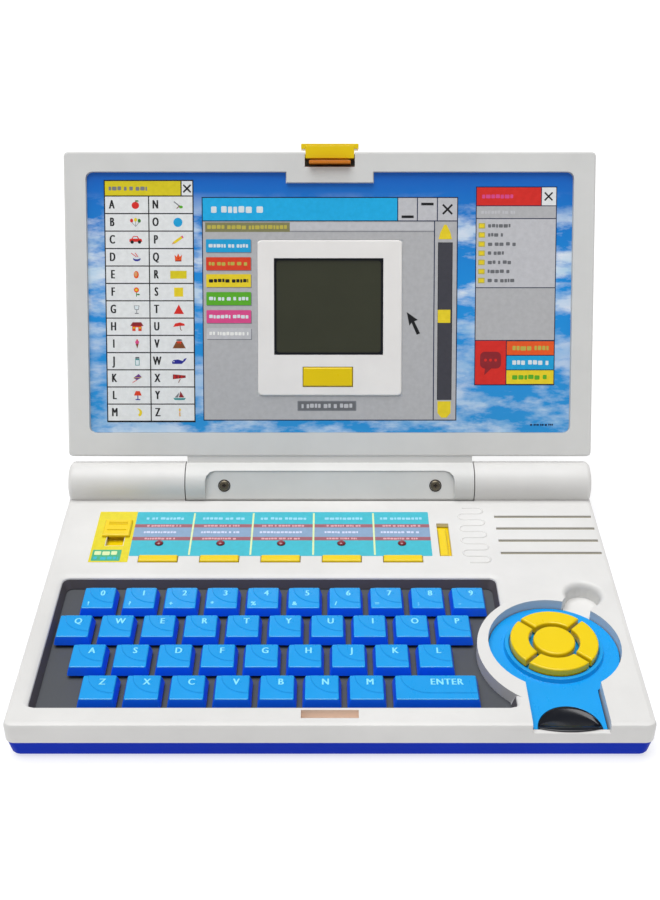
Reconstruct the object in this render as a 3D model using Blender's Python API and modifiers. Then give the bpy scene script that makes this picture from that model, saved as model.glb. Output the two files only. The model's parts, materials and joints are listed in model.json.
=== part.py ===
"""Toy laptop computer: a white clamshell case with a blue keyboard, a round control pad,
select buttons, two sliders and a lid that carries a small LCD.

The case is modelled with its front face at Y = 0, the ground at Z = 0 and +X to the right.
The lid is modelled lying flat in its own frame: +Y runs from the hinge axis to the lid's
free edge and +Z points out of the screen side. An empty on the hinge axis holds it open.
"""
import math

import bmesh
import bpy
from mathutils import Matrix, Vector

MM = 0.001
FIT = 0.3 * MM  # gap between pieces that meet
HAIR = 1.0 * MM  # how far a cutter runs past the surface that it opens
CAP_EDGE = 0.5 * MM  # chamfer round the top of a button
FLANGE = 1.0 * MM  # width and thickness of the rim that keeps a button in its hole
SLIDER_FOOT = 1.2 * MM  # thickness of a slider's foot
SHARP_TURN = 0.4  # an edge that turns by more than this (radians) is rounded

# Driving dimensions of the case
WIDTH = 270 * MM
DEPTH = 180 * MM
HALF_WIDTH = WIDTH / 2
TOP_Z = 20 * MM
SEAM_Z = 10 * MM
FOOT_HEIGHT = 1.2 * MM
FOOT_RADIUS = 6 * MM
FOOT_INSET = 17 * MM
BOSS_INSET_X = 7.6 * MM
BOSS_INSET_Y = 12 * MM
WALL = 2.2 * MM
FLOOR = 2.0 * MM
CORNER_RADIUS = 4 * MM
TOP_EDGE_RADIUS = 2.6 * MM
LOWER_TAPER = 1.2 * MM
LOWER_EDGE_RADIUS = 1.4 * MM
SKIRT_Z = 13.9 * MM  # lower edge of the walls round the openings in the top
SKIRT_WALL = 2.3 * MM
BLOCK_TOP_Z = TOP_Z - HAIR

# Hinge between case and lid
HINGE_Y = 169 * MM
HINGE_Z = 24 * MM
BARREL_RADIUS = 11 * MM
BARREL_INNER_RADIUS = 8.6 * MM
BARREL_END_RADIUS = 2.6 * MM
BARREL_END_X = HALF_WIDTH - 0.5 * MM
KNUCKLE_HALF = 74 * MM
BARREL_START_X = KNUCKLE_HALF + 0.5 * MM
SADDLE_RADIUS = BARREL_RADIUS + 0.7 * MM
PIN_RADIUS = 3 * MM
PIN_LENGTH = 6 * MM
LID_OPEN_ANGLE = math.radians(118.1)

# Keyboard: 19.05 mm pitch, four staggered rows from back to front
KEY_PITCH = 19.05 * MM
ROW_PITCH = 19.6 * MM
ROW_1_Y = 81.7 * MM
KEY_ROWS = (
    ("0123456789", -107.2 * MM),
    ("qwertyuiop", -115.4 * MM),
    ("asdfghjkl", -106.1 * MM),
    ("zxcvbnm", -98.6 * MM),
)
ENTER_X = 45.4 * MM
ENTER_EXTRA_HALF = 10.2 * MM
KEY_TOP_Z = 19.8 * MM
KEY_SKIRT_Z = 15.2 * MM
KEY_TOP_HALF = 7.2 * MM
KEY_BASE_HALF = 8.3 * MM
KEY_EDGE = 0.6 * MM
STEM_HALF = 2.4 * MM
STEM_FLANGE_HALF = 3.4 * MM
STEM_END_Z = 8.3 * MM
PLATE_TOP_Z = 13.5 * MM
PLATE_BOTTOM_Z = 12.0 * MM
KEY_WELL_X = (-126.3 * MM, 78.5 * MM)
KEY_WELL_Y = (10.1 * MM, 96.2 * MM)
KEY_WELL_DRAFT = 1.8 * MM
KEY_WELL_ROLL = (3.6 * MM, 1.6 * MM)  # width and depth of the rolled edge round the well
KEY_WELL_RADIUS = 3 * MM
ROLL_STEPS = 4  # facets across a rolled edge
BOARD_BOTTOM_Z = 5.0 * MM
BOARD_TOP_Z = 6.6 * MM
BOARD_X = (-122 * MM, 76 * MM)
BOARD_Y = (14 * MM, 98 * MM)
BOARD_POSTS = ((-118 * MM, 20 * MM), (-118 * MM, 88 * MM), (-24 * MM, 54 * MM),
               (68 * MM, 20 * MM), (68 * MM, 88 * MM))
BOARD_POST_RADIUS = 3 * MM
CORNER_BOSS_RADIUS = 3.6 * MM
PAD_POST_RADIUS = 7 * MM
PLATE_MARGIN = 2 * MM  # how far the plate reaches past the well on every side

# Control pad
PAD_X = 99.6 * MM
PAD_Y = 50.0 * MM
PAD_HUB_Y = 51.2 * MM  # middle of the raised disc and its buttons
PAD_NEST_RADIUS = 29.3 * MM
PAD_WALL_RADIUS = 34.2 * MM
PAD_BULGE_X = 102.3 * MM  # middle of the larger round wall on the keyboard's side
PAD_BULGE_Y = 46.8 * MM
PAD_BULGE_RADIUS = 37.2 * MM
PAD_TAIL_HALF = 16.1 * MM
PAD_TAIL_LIP_Z = 15.5 * MM
PAD_SURFACE_Z = 15.3 * MM
PAD_BOTTOM_Z = 10.4 * MM
PAD_GAP = 0.4 * MM  # between the pad and its nest
PAD_CUT_HEIGHT = 4 * MM  # height of the cutters that reach out of its top
PAD_DISC_Z = 17.5 * MM
PAD_DISC_RADIUS = 21.6 * MM
PAD_DISC_FOOT_RADIUS = 22.3 * MM
PAD_BUTTON_WELL_RADIUS = 20.0 * MM
PAD_BUTTON_WELL_Z = 15.8 * MM
PAD_RING_RADII = (11.2 * MM, 19.5 * MM)
PAD_CENTRE_RADIUS = 9.3 * MM
PAD_BUTTON_TOP_Z = 21.0 * MM
PAD_BUTTON_BASE_Z = 17.0 * MM
PAD_ARC_GAP = 1.6 * MM
PAD_ARC_EDGE = 0.8 * MM
PAD_CENTRE_EDGE = 1.0 * MM
PAD_STEM_END_Z = 12.2 * MM
PAD_THUMB_RADIUS = 13.6 * MM
PAD_THUMB_Z = 11.9 * MM
FINGER_X = 118.0 * MM
FINGER_Y = 83.6 * MM
FINGER_RADIUS = 7.8 * MM
FINGER_ROLL = (2.6 * MM, 3.4 * MM)  # width and depth of the rolled rim of the finger hole
FINGER_FLOOR_Z = 11.5 * MM
FINGER_RAMP_HALF = 6.8 * MM
FINGER_RAMP_Z = 13.2 * MM
FINGER_STEP_OFFSET = 12 * MM
FINGER_SIDES = 40

# Select buttons, sliders, speaker
SELECT_X = (-83.0 * MM, -53.4 * MM, -23.8 * MM, 5.8 * MM, 35.4 * MM)
SELECT_Y = 109.9 * MM
SELECT_HALF_X = 9.4 * MM
SELECT_HALF_Y = 2.4 * MM
SELECT_TOP_Z = 21.0 * MM
SELECT_FLANGE_Z = 17.4 * MM
MODE_X = -105.8 * MM
MODE_SLOT_HALF = 4.3 * MM
MODE_SLOT_Y = (120.4 * MM, 141.0 * MM)
MODE_CAP_HALF = (6.8 * MM, 6.6 * MM)
MODE_Y = 133.6 * MM
MODE_CAP_HEIGHT = 1.6 * MM
MODE_CAP_EDGE = 0.6 * MM
MODE_NECK_INSET = 2 * MM
MODE_FOOT_EXTRA = 2 * MM
MODE_FOOT_REACH = 14 * MM  # how far the foot runs forward to close the slot
VOLUME_X = 56.4 * MM
VOLUME_SLOT_HALF = 3.0 * MM
VOLUME_SLOT_Y = (112.2 * MM, 138.6 * MM)
VOLUME_KNOB_HALF = 10.8 * MM
VOLUME_KNOB_HALF_X = 2.05 * MM
VOLUME_FOOT_HALF_X = 4.8 * MM
VOLUME_KNOB_HEIGHT = 0.4 * MM
VOLUME_FOOT_REACH = 15.8 * MM  # how far the foot runs back to close the slot
VOLUME_KNOB_X = VOLUME_X - VOLUME_SLOT_HALF + FIT + VOLUME_KNOB_HALF_X
VOLUME_Y = VOLUME_SLOT_Y[0] + VOLUME_KNOB_HALF + FIT
SPEAKER_X = (83.1 * MM, 132.2 * MM)
SPEAKER_FIRST_Y = 114.6 * MM
SPEAKER_PITCH = 9.9 * MM
SPEAKER_SLOT = 1.9 * MM
SPEAKER_SLOTS = 4

# Catch slot in the front rim of the case
CATCH_SLOT_HALF = 12 * MM
CATCH_SLOT_Y = (4.3 * MM, 8.9 * MM)
CATCH_SLOT_Z = 15.4 * MM

# Lid, in its own frame
LID_BOTTOM = 14 * MM
LID_TOP = 169 * MM
LID_FRONT = 3.5 * MM
LID_REAR = -8.5 * MM
LID_SEAM = -2 * MM
LID_CORNER_RADIUS = 2 * MM
LID_REAR_EDGE_RADIUS = 1.8 * MM
LID_FRONT_EDGE = 0.8 * MM
NECK_INSET = (1.5 * MM, 0.8 * MM)  # how far the neck stays inside the rear and the front
CARD_FLOOR = 1.5 * MM
CARD_HALF = 124 * MM
CARD_Y = (26 * MM, 159.1 * MM)
CARD_RADIUS = 3.3 * MM
CARD_TAB_HALF = 22 * MM
CARD_TAB_Y = 153.7 * MM
SCREEN_FRAME_HALF = 37 * MM
SCREEN_FRAME_Y = (45.4 * MM, 124.7 * MM)
SCREEN_FRAME_FRONT = 2.7 * MM
SCREEN_FRAME_RADIUS = 2 * MM
SCREEN_FRAME_EDGE = 0.5 * MM
SCREEN_X = (-28.6 * MM, 27.4 * MM)
SCREEN_Y = (66.3 * MM, 115.6 * MM)
SCREEN_FRONT = 1.4 * MM
SCREEN_BACK = -1.6 * MM
CONTRAST_X = -1.0 * MM
CONTRAST_Y = 55.0 * MM
CONTRAST_HALF = (12.7 * MM, 4.9 * MM)
CONTRAST_HEIGHT = 0.4 * MM  # above the screen frame
KNUCKLE_PANEL_HALF = 64 * MM
KNUCKLE_PANEL_Z = 8 * MM
KNUCKLE_PANEL_TOP = 7.0 * MM
KNUCKLE_PANEL_RADIUS = 5 * MM
KNUCKLE_HOLLOW_HALF_Y = 6.5 * MM
KNUCKLE_HOLLOW_Z = 6 * MM
CATCH_NOTCH_HALF = 12.7 * MM
CATCH_NOTCH_Y = 161.4 * MM
CATCH_NOTCH_Z = LID_REAR + 3 * MM

# Catch, in the lid's frame
CATCH_BODY_Y = (165.8 * MM, 172 * MM)
CATCH_BODY_Z = (-4.6 * MM, 3.2 * MM)
CATCH_TAB_HALF = 14.6 * MM
CATCH_TAB_Y = (170.6 * MM, 173.2 * MM)
CATCH_TAB_Z = (-5.0 * MM, 2.2 * MM)
CATCH_HOOK_HALF = 10.5 * MM
CATCH_HOOK_Y = (162.9 * MM, 164.3 * MM)
CATCH_HOOK_Z = (-2.2 * MM, 7.0 * MM)
CATCH_WEB_HALF = 10 * MM
CATCH_WEB_Y = (163.2 * MM, 166.6 * MM)
CATCH_WEB_Z = (-2.6 * MM, -0.2 * MM)

# Battery bay in the base
BATTERY_HALF = 32 * MM
BATTERY_Y = (106 * MM, 151 * MM)
BATTERY_ROOF_Z = 15.4 * MM
BAY_WALL = 1.6 * MM
DOOR_RADIUS = 1 * MM
GRIPS = 4
GRIP_PITCH = 2.4 * MM
GRIP_INSET = 8 * MM  # from the door's edge to its first grip groove
GRIP_HALF = (9 * MM, 0.5 * MM)
GRIP_DEPTH = 0.6 * MM

WHITE = (0.83, 0.82, 0.81)
BEZEL_WHITE = (0.60, 0.59, 0.58)
KEY_BLUE = (0.03, 0.30, 0.90)
SHELL_BLUE = (0.008, 0.035, 0.40)
PAD_BLUE = (0.03, 0.30, 0.85)
YELLOW = (0.92, 0.60, 0.02)
PLATE_GREY = (0.13, 0.14, 0.16)
BOARD_GREEN = (0.02, 0.16, 0.07)
SCREEN_GREY = (0.035, 0.038, 0.022)

parts = None
tools = None


# ---------------------------------------------------------------- helpers

def start_scene():
    for old in list(bpy.data.objects):
        bpy.data.objects.remove(old)
    for old in list(bpy.data.collections):
        bpy.data.collections.remove(old)
    found = []
    for name in ("toy_laptop", "cutters"):
        collection = bpy.data.collections.new(name)
        bpy.context.scene.collection.children.link(collection)
        found.append(collection)
    return found


def empty(name, location, parent=None):
    frame = bpy.data.objects.new(name, None)
    frame.location = location
    frame.parent = parent
    parts.objects.link(frame)
    return frame


def place(name, mesh, parent, location=(0, 0, 0)):
    """Make an object that is still a tool; finish() turns it into a sub-part."""
    body = bpy.data.objects.new(name, mesh)
    body.location = location
    body.parent = parent
    body.display_type = 'WIRE'
    body.hide_render = True
    tools.objects.link(body)
    return body


def finish(body, colour, roughness=0.4):
    """Move an object into the object's collection and give it its own plastic."""
    tools.objects.unlink(body)
    parts.objects.link(body)
    body.display_type = 'TEXTURED'
    body.hide_render = False
    material = bpy.data.materials.new(body.name)
    material.use_nodes = True
    shader = material.node_tree.nodes["Principled BSDF"]
    shader.inputs["Base Color"].default_value = (*colour, 1)
    shader.inputs["Roughness"].default_value = roughness
    shader.inputs["Metallic"].default_value = 0
    if body.data.materials:
        body.data.materials[0] = material
    else:
        body.data.materials.append(material)
    return body


def mesh_from(bm, name):
    mesh = bpy.data.meshes.new(name)
    bm.normal_update()
    bm.to_mesh(mesh)
    bm.free()
    return mesh


def box(name, x_range, y_range, z_range, parent):
    bm = bmesh.new()
    bmesh.ops.create_cube(bm, size=1)
    size = [span[1] - span[0] for span in (x_range, y_range, z_range)]
    centre = [(span[1] + span[0]) / 2 for span in (x_range, y_range, z_range)]
    bmesh.ops.scale(bm, vec=size, verts=bm.verts)
    return place(name, mesh_from(bm, name), parent, centre)


def cylinder(name, centre, radius, length, parent, axis='Z', sides=32, top_radius=None):
    bm = bmesh.new()
    bmesh.ops.create_cone(bm, cap_ends=True, segments=sides, radius1=radius,
                          radius2=radius if top_radius is None else top_radius, depth=length)
    if axis == 'X':
        bmesh.ops.rotate(bm, verts=bm.verts, matrix=Matrix.Rotation(math.pi / 2, 3, 'Y'))
    return place(name, mesh_from(bm, name), parent, centre)


def upright(name, centre, radius, z_range, parent, sides=32, top_radius=None):
    middle = (centre[0], centre[1], (z_range[0] + z_range[1]) / 2)
    return cylinder(name, middle, radius, z_range[1] - z_range[0], parent, 'Z', sides, top_radius)


def arc_points(centre, radius, start, end, steps):
    points = []
    for step in range(steps + 1):
        angle = start + (end - start) * step / steps
        points.append((centre[0] + radius * math.cos(angle), centre[1] + radius * math.sin(angle)))
    return points


def rounded_rectangle(x_range, y_range, radius, steps=3):
    quarter = math.pi / 2
    corners = ((x_range[1], y_range[1]), (x_range[0], y_range[1]),
               (x_range[0], y_range[0]), (x_range[1], y_range[0]))
    points = []
    for number, (x, y) in enumerate(corners):
        inward_x = -radius if x == x_range[1] else radius
        inward_y = -radius if y == y_range[1] else radius
        centre = (x + inward_x, y + inward_y)
        points += arc_points(centre, radius, number * quarter, (number + 1) * quarter, steps)
    return points


def prism(name, outline, z_range, parent, draft=0.0):
    """Extrude a flat outline. A draft draws the lower end in on every side."""
    curve = bpy.data.curves.new(name, 'CURVE')
    curve.dimensions = '2D'
    curve.fill_mode = 'BOTH'
    curve.extrude = (z_range[1] - z_range[0]) / 2
    curve.render_resolution_u = 0
    spline = curve.splines.new('POLY')
    spline.points.add(len(outline) - 1)
    for point, (x, y) in zip(spline.points, outline):
        point.co = (x, y, 0, 1)
    spline.use_cyclic_u = True
    guide = bpy.data.objects.new(name + "_outline", curve)
    tools.objects.link(guide)
    graph = bpy.context.evaluated_depsgraph_get()
    flat = bpy.data.meshes.new_from_object(guide.evaluated_get(graph))
    bpy.data.objects.remove(guide)
    bm = bmesh.new()
    bm.from_mesh(flat)
    bmesh.ops.remove_doubles(bm, verts=bm.verts, dist=0.00001)
    bmesh.ops.dissolve_limit(bm, angle_limit=0.001, verts=bm.verts, edges=bm.edges)
    bmesh.ops.recalc_face_normals(bm, faces=bm.faces)
    if draft:
        draw_in(bm, draft)
    for vert in bm.verts:
        vert.co.z += (z_range[0] + z_range[1]) / 2
    return place(name, mesh_from(bm, name), parent)


def draw_in(bm, draft):
    """Draw the lower end of a prism in."""
    xs = [vert.co.x for vert in bm.verts]
    ys = [vert.co.y for vert in bm.verts]
    middle = Vector(((min(xs) + max(xs)) / 2, (min(ys) + max(ys)) / 2, 0))
    scale_x = 1 - 2 * draft / (max(xs) - min(xs))
    scale_y = 1 - 2 * draft / (max(ys) - min(ys))
    for vert in bm.verts:
        if vert.co.z < 0:
            vert.co.x = middle.x + (vert.co.x - middle.x) * scale_x
            vert.co.y = middle.y + (vert.co.y - middle.y) * scale_y


def round_edges(body, chosen, width, segments=2):
    """Bevel the edges whose two ends both satisfy the test."""
    bm = bmesh.new()
    bm.from_mesh(body.data)
    edges = []
    for edge in bm.edges:
        if all(chosen(vert.co) for vert in edge.verts) and edge.calc_face_angle(0) > SHARP_TURN:
            edges.append(edge)
    bmesh.ops.bevel(bm, geom=edges, offset=width, segments=segments, profile=0.5,
                    affect='EDGES', clamp_overlap=True)
    bm.normal_update()
    bm.to_mesh(body.data)
    bm.free()


def smooth(body, degrees=35):
    """Shade round faces smooth; the modifier keeps large flat faces flat after the Booleans."""
    body.data.shade_smooth()
    body.data.set_sharp_from_angle(angle=math.radians(degrees))
    body.modifiers.new("normals", 'WEIGHTED_NORMAL')


def boolean(target, tool, operation):
    modifier = target.modifiers.new(tool.name, 'BOOLEAN')
    modifier.operation = operation
    modifier.object = tool


def cut(target, *cutters):
    for cutter in cutters:
        boolean(target, cutter, 'DIFFERENCE')


def join(target, *pieces):
    for piece in pieces:
        boolean(target, piece, 'UNION')


def plug_mesh(name, sections):
    """A moulded cap with its stem: rectangular sections (half x, half y, z), top to bottom."""
    bm = bmesh.new()
    bmesh.ops.create_cube(bm, size=1)
    for vert in bm.verts:
        shape_section_corner(vert, sections[0] if vert.co.z > 0 else sections[1])
    face = min(bm.faces, key=lambda side: side.calc_center_median().z)
    for section in sections[2:]:
        face = bmesh.ops.extrude_discrete_faces(bm, faces=[face])["faces"][0]
        for vert in face.verts:
            shape_section_corner(vert, section)
    return mesh_from(bm, name)


def shape_section_corner(vert, section):
    half_x, half_y, z = section
    vert.co = (math.copysign(half_x, vert.co.x), math.copysign(half_y, vert.co.y), z)


def turned(name, profile, parent, location, sides=24):
    """Turn a profile of (radius, z) points, listed from the top down, round the Z axis."""
    mesh = bpy.data.meshes.new(name)
    points = [(radius, 0, z) for radius, z in profile]
    mesh.from_pydata(points, [(i, i + 1) for i in range(len(points) - 1)], [])
    body = place(name, mesh, parent, location)
    screw = body.modifiers.new("turn", 'SCREW')
    screw.steps = sides
    screw.render_steps = sides
    screw.use_merge_vertices = True
    screw.merge_threshold = 0.00001
    screw.use_smooth_shade = False
    return body


# ---------------------------------------------------------------- case, upper half

def barrel(side, root):
    """One of the two hinge barrels at the back corners, with a domed outer end."""
    length = BARREL_END_X - BARREL_START_X
    centre = (side * (BARREL_START_X + length / 2), HINGE_Y, HINGE_Z)
    body = cylinder(f"barrel_{side}", centre, BARREL_RADIUS, length, root, axis='X', sides=36)
    outer = side * length / 2
    round_edges(body, lambda point: abs(point.x - outer) < FIT, BARREL_END_RADIUS, 3)
    return body


def barrel_hollow(side, root):
    """The inside of a barrel, and the opening that joins it to the inside of the case."""
    start = KNUCKLE_HALF + PIN_LENGTH + 3 * MM
    end = BARREL_END_X - BARREL_END_RADIUS
    centre = (side * (start + end) / 2, HINGE_Y, HINGE_Z)
    hollow = cylinder(f"barrel_hollow_{side}", centre, BARREL_INNER_RADIUS, end - start, root, 'X', 20)
    mouth_x = sorted((side * (start + WALL), side * (end - WALL)))
    mouth_half = BARREL_INNER_RADIUS / 2
    join(hollow, box(f"barrel_mouth_{side}", mouth_x, (HINGE_Y - mouth_half, HINGE_Y + mouth_half),
                     (SEAM_Z - HAIR, HINGE_Z - mouth_half), root))
    return hollow


def pin_bore(side, root):
    length = PIN_LENGTH + 2 * HAIR
    centre = (side * (KNUCKLE_HALF + length / 2), HINGE_Y, HINGE_Z)
    return cylinder(f"pin_bore_{side}", centre, PIN_RADIUS + FIT, length, root, 'X', 20)


def stacked(name, rings, parent):
    """A closed solid through outlines of equal point count, each (points, z), lowest first."""
    bm = bmesh.new()
    rows = [[bm.verts.new((x, y, z)) for x, y in points] for points, z in rings]
    bm.faces.new(rows[0][::-1])
    bm.faces.new(rows[-1])
    count = len(rows[0])
    for lower, upper in zip(rows, rows[1:]):
        for index in range(count):
            following = (index + 1) % count
            bm.faces.new((lower[index], lower[following], upper[following], upper[index]))
    return place(name, mesh_from(bm, name), parent)


def rolled_edge(width, depth):
    """(outward spread, z) levels of an opening whose rim rolls over into the top face."""
    levels = []
    for step in range(ROLL_STEPS + 1):
        angle = math.pi / 2 * (1 - step / ROLL_STEPS)
        levels.append((width * (1 - math.sin(angle)), TOP_Z - depth * (1 - math.cos(angle))))
    return levels + [(width, TOP_Z + FIT)]


def key_well_cutter(root):
    """The keyboard well: drafted walls, a rolled edge at the back and sides, and a bulge where
    the pad's round wall cuts into it."""
    rings = []
    for spread, z in [(-KEY_WELL_DRAFT, SKIRT_Z - HAIR)] + rolled_edge(*KEY_WELL_ROLL):
        x_range = (KEY_WELL_X[0] - spread, KEY_WELL_X[1] + spread)
        y_range = (KEY_WELL_Y[0] - min(spread, 0), KEY_WELL_Y[1] + spread)
        radius = KEY_WELL_RADIUS + max(spread, 0)
        rings.append((rounded_rectangle(x_range, y_range, radius), z))
    well = stacked("key_well", rings, root)
    bulge = cylinder("pad_bulge", (PAD_BULGE_X, PAD_BULGE_Y, TOP_Z), PAD_BULGE_RADIUS, 2 * TOP_Z,
                     root, sides=72)
    cut(well, bulge)
    return well


def base_upper_case(root):
    outline = rounded_rectangle((-HALF_WIDTH, HALF_WIDTH), (0, DEPTH), CORNER_RADIUS, 4)
    case = prism("base_upper_case", outline, (SEAM_Z, TOP_Z), root)
    round_edges(case, lambda point: point.z > TOP_Z - FIT, TOP_EDGE_RADIUS, 2)

    inner_x = HALF_WIDTH - WALL
    ceiling = TOP_Z - WALL
    cut(case, box("case_hollow", (-inner_x, inner_x), (WALL, DEPTH - WALL), (0, ceiling), root))

    skirt_x = (KEY_WELL_X[0] - SKIRT_WALL, KEY_WELL_X[1] + SKIRT_WALL)
    skirt_y = (KEY_WELL_Y[0] - SKIRT_WALL, KEY_WELL_Y[1] + SKIRT_WALL)
    tail_outer = PAD_TAIL_HALF + SKIRT_WALL
    join(case,
         box("key_skirt", skirt_x, skirt_y, (SKIRT_Z, BLOCK_TOP_Z), root),
         upright("pad_skirt", (PAD_X, PAD_Y), PAD_WALL_RADIUS, (SKIRT_Z, BLOCK_TOP_Z), root, sides=64),
         prism("bulge_skirt", arc_points((PAD_BULGE_X, PAD_BULGE_Y), PAD_BULGE_RADIUS + HAIR,
                                         math.pi / 2, 3 * math.pi / 2, 36),
               (SKIRT_Z - FIT, BLOCK_TOP_Z - FIT), root),
         box("tail_skirt", (PAD_X - tail_outer, PAD_X + tail_outer), (HAIR, PAD_Y),
             (SKIRT_Z - HAIR, BLOCK_TOP_Z - FIT), root),
         upright("finger_skirt", (FINGER_X, FINGER_Y), FINGER_RADIUS + WALL,
                 (SEAM_Z + FIT, BLOCK_TOP_Z - FIT), root),
         box("catch_skirt", (-CATCH_SLOT_HALF - WALL, CATCH_SLOT_HALF + WALL),
             (HAIR, skirt_y[0] + WALL), (SKIRT_Z, BLOCK_TOP_Z - FIT), root),
         box("saddle_block", (-BARREL_START_X - 3 * MM, BARREL_START_X + 3 * MM),
             (HINGE_Y - SADDLE_RADIUS - WALL, DEPTH - HAIR), (SEAM_Z + FIT, BLOCK_TOP_Z), root),
         barrel(-1, root),
         barrel(1, root))

    cut(case, finger_cutter(root))
    join(case, finger_step(root))
    cut(case,
        key_well_cutter(root),
        pad_nest_cutter(root),
        pad_lip_cutter(root),
        finger_ramp_cutter(root),
        box("catch_slot", (-CATCH_SLOT_HALF, CATCH_SLOT_HALF), CATCH_SLOT_Y,
            (CATCH_SLOT_Z, TOP_Z + HAIR), root),
        cylinder("saddle", (0, HINGE_Y, HINGE_Z), SADDLE_RADIUS, 2 * BARREL_START_X, root, 'X', 36),
        case_slots_cutter(root))
    for side in (-1, 1):
        cut(case, pin_bore(side, root), barrel_hollow(side, root))
    smooth(case)
    return finish(case, WHITE)


def pad_nest_cutter(root):
    """Round nest with a straight tail that runs to the front wall."""
    nest = prism("pad_nest", pad_outline(PAD_NEST_RADIUS, PAD_TAIL_HALF, WALL),
                 (SEAM_Z - HAIR, TOP_Z + HAIR), root)
    return nest


def pad_outline(radius, tail_half, front_y):
    """A circle that runs out at the front into a straight tail, as one closed outline."""
    spread = math.asin(tail_half / radius)
    start = -math.pi / 2 + spread
    points = arc_points((PAD_X, PAD_Y), radius, start, start + 2 * (math.pi - spread), 44)
    return points + [(PAD_X - tail_half, front_y), (PAD_X + tail_half, front_y)]


def pad_lip_cutter(root):
    return box("pad_lip", (PAD_X - PAD_TAIL_HALF, PAD_X + PAD_TAIL_HALF), (-HAIR, WALL + HAIR),
               (PAD_TAIL_LIP_Z, TOP_Z + HAIR), root)


def finger_cutter(root):
    """A round finger hole with a rolled rim."""
    rings = []
    for spread, z in [(0, FINGER_FLOOR_Z)] + rolled_edge(*FINGER_ROLL):
        circle = arc_points((FINGER_X, FINGER_Y), FINGER_RADIUS + spread, 0,
                            2 * math.pi * (1 - 1 / FINGER_SIDES), FINGER_SIDES - 1)
        rings.append((circle, z))
    return stacked("finger_hole", rings, root)


def towards_pad():
    return Vector((PAD_X - FINGER_X, PAD_Y - FINGER_Y, 0)).normalized()


def finger_step(root):
    """The round-ended step that fills the pad's side of the finger hole, under the ramp."""
    centre = Vector((FINGER_X, FINGER_Y, 0)) + towards_pad() * FINGER_STEP_OFFSET
    return upright("finger_step", centre[:2], FINGER_RAMP_HALF + FIT,
                   (SEAM_Z + HAIR, BLOCK_TOP_Z - HAIR), root)


def finger_ramp_cutter(root):
    """The shallow channel from the finger hole into the pad's nest."""
    length = 2 * FINGER_RADIUS
    ramp = box("finger_ramp", (0, length), (-FINGER_RAMP_HALF, FINGER_RAMP_HALF),
               (FINGER_RAMP_Z, TOP_Z + HAIR), root)
    ramp.rotation_euler.z = math.atan2(towards_pad().y, towards_pad().x)
    reach = towards_pad() * length / 2
    ramp.location = (FINGER_X + reach.x, FINGER_Y + reach.y, ramp.location.z)
    return ramp


def case_slots_cutter(root):
    """All plain slots through the top: select buttons, two sliders and the speaker."""
    z_range = (SEAM_Z + FIT, TOP_Z + HAIR)
    openings = []
    for number, x in enumerate(SELECT_X):
        half_x = SELECT_HALF_X + FIT
        half_y = SELECT_HALF_Y + FIT
        openings.append((f"select_slot_{number}", (x - half_x, x + half_x),
                         (SELECT_Y - half_y, SELECT_Y + half_y)))
    openings.append(("mode_slot", (MODE_X - MODE_SLOT_HALF, MODE_X + MODE_SLOT_HALF), MODE_SLOT_Y))
    openings.append(("volume_slot", (VOLUME_X - VOLUME_SLOT_HALF, VOLUME_X + VOLUME_SLOT_HALF),
                     VOLUME_SLOT_Y))
    for number in range(SPEAKER_SLOTS):
        y = SPEAKER_FIRST_Y + number * SPEAKER_PITCH
        openings.append((f"speaker_slot_{number}", SPEAKER_X,
                         (y - SPEAKER_SLOT / 2, y + SPEAKER_SLOT / 2)))
    return joined_boxes("case_slots", openings, z_range, root)


def joined_boxes(name, openings, z_range, root):
    """One cutter mesh made of separate upright boxes."""
    bm = bmesh.new()
    for _, x_range, y_range in openings:
        size = (x_range[1] - x_range[0], y_range[1] - y_range[0], z_range[1] - z_range[0])
        middle = ((x_range[1] + x_range[0]) / 2, (y_range[1] + y_range[0]) / 2,
                  (z_range[1] + z_range[0]) / 2)
        bmesh.ops.create_cube(bm, size=1, matrix=Matrix.LocRotScale(middle, None, size))
    return place(name, mesh_from(bm, name), root)


# ---------------------------------------------------------------- case, lower half

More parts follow.
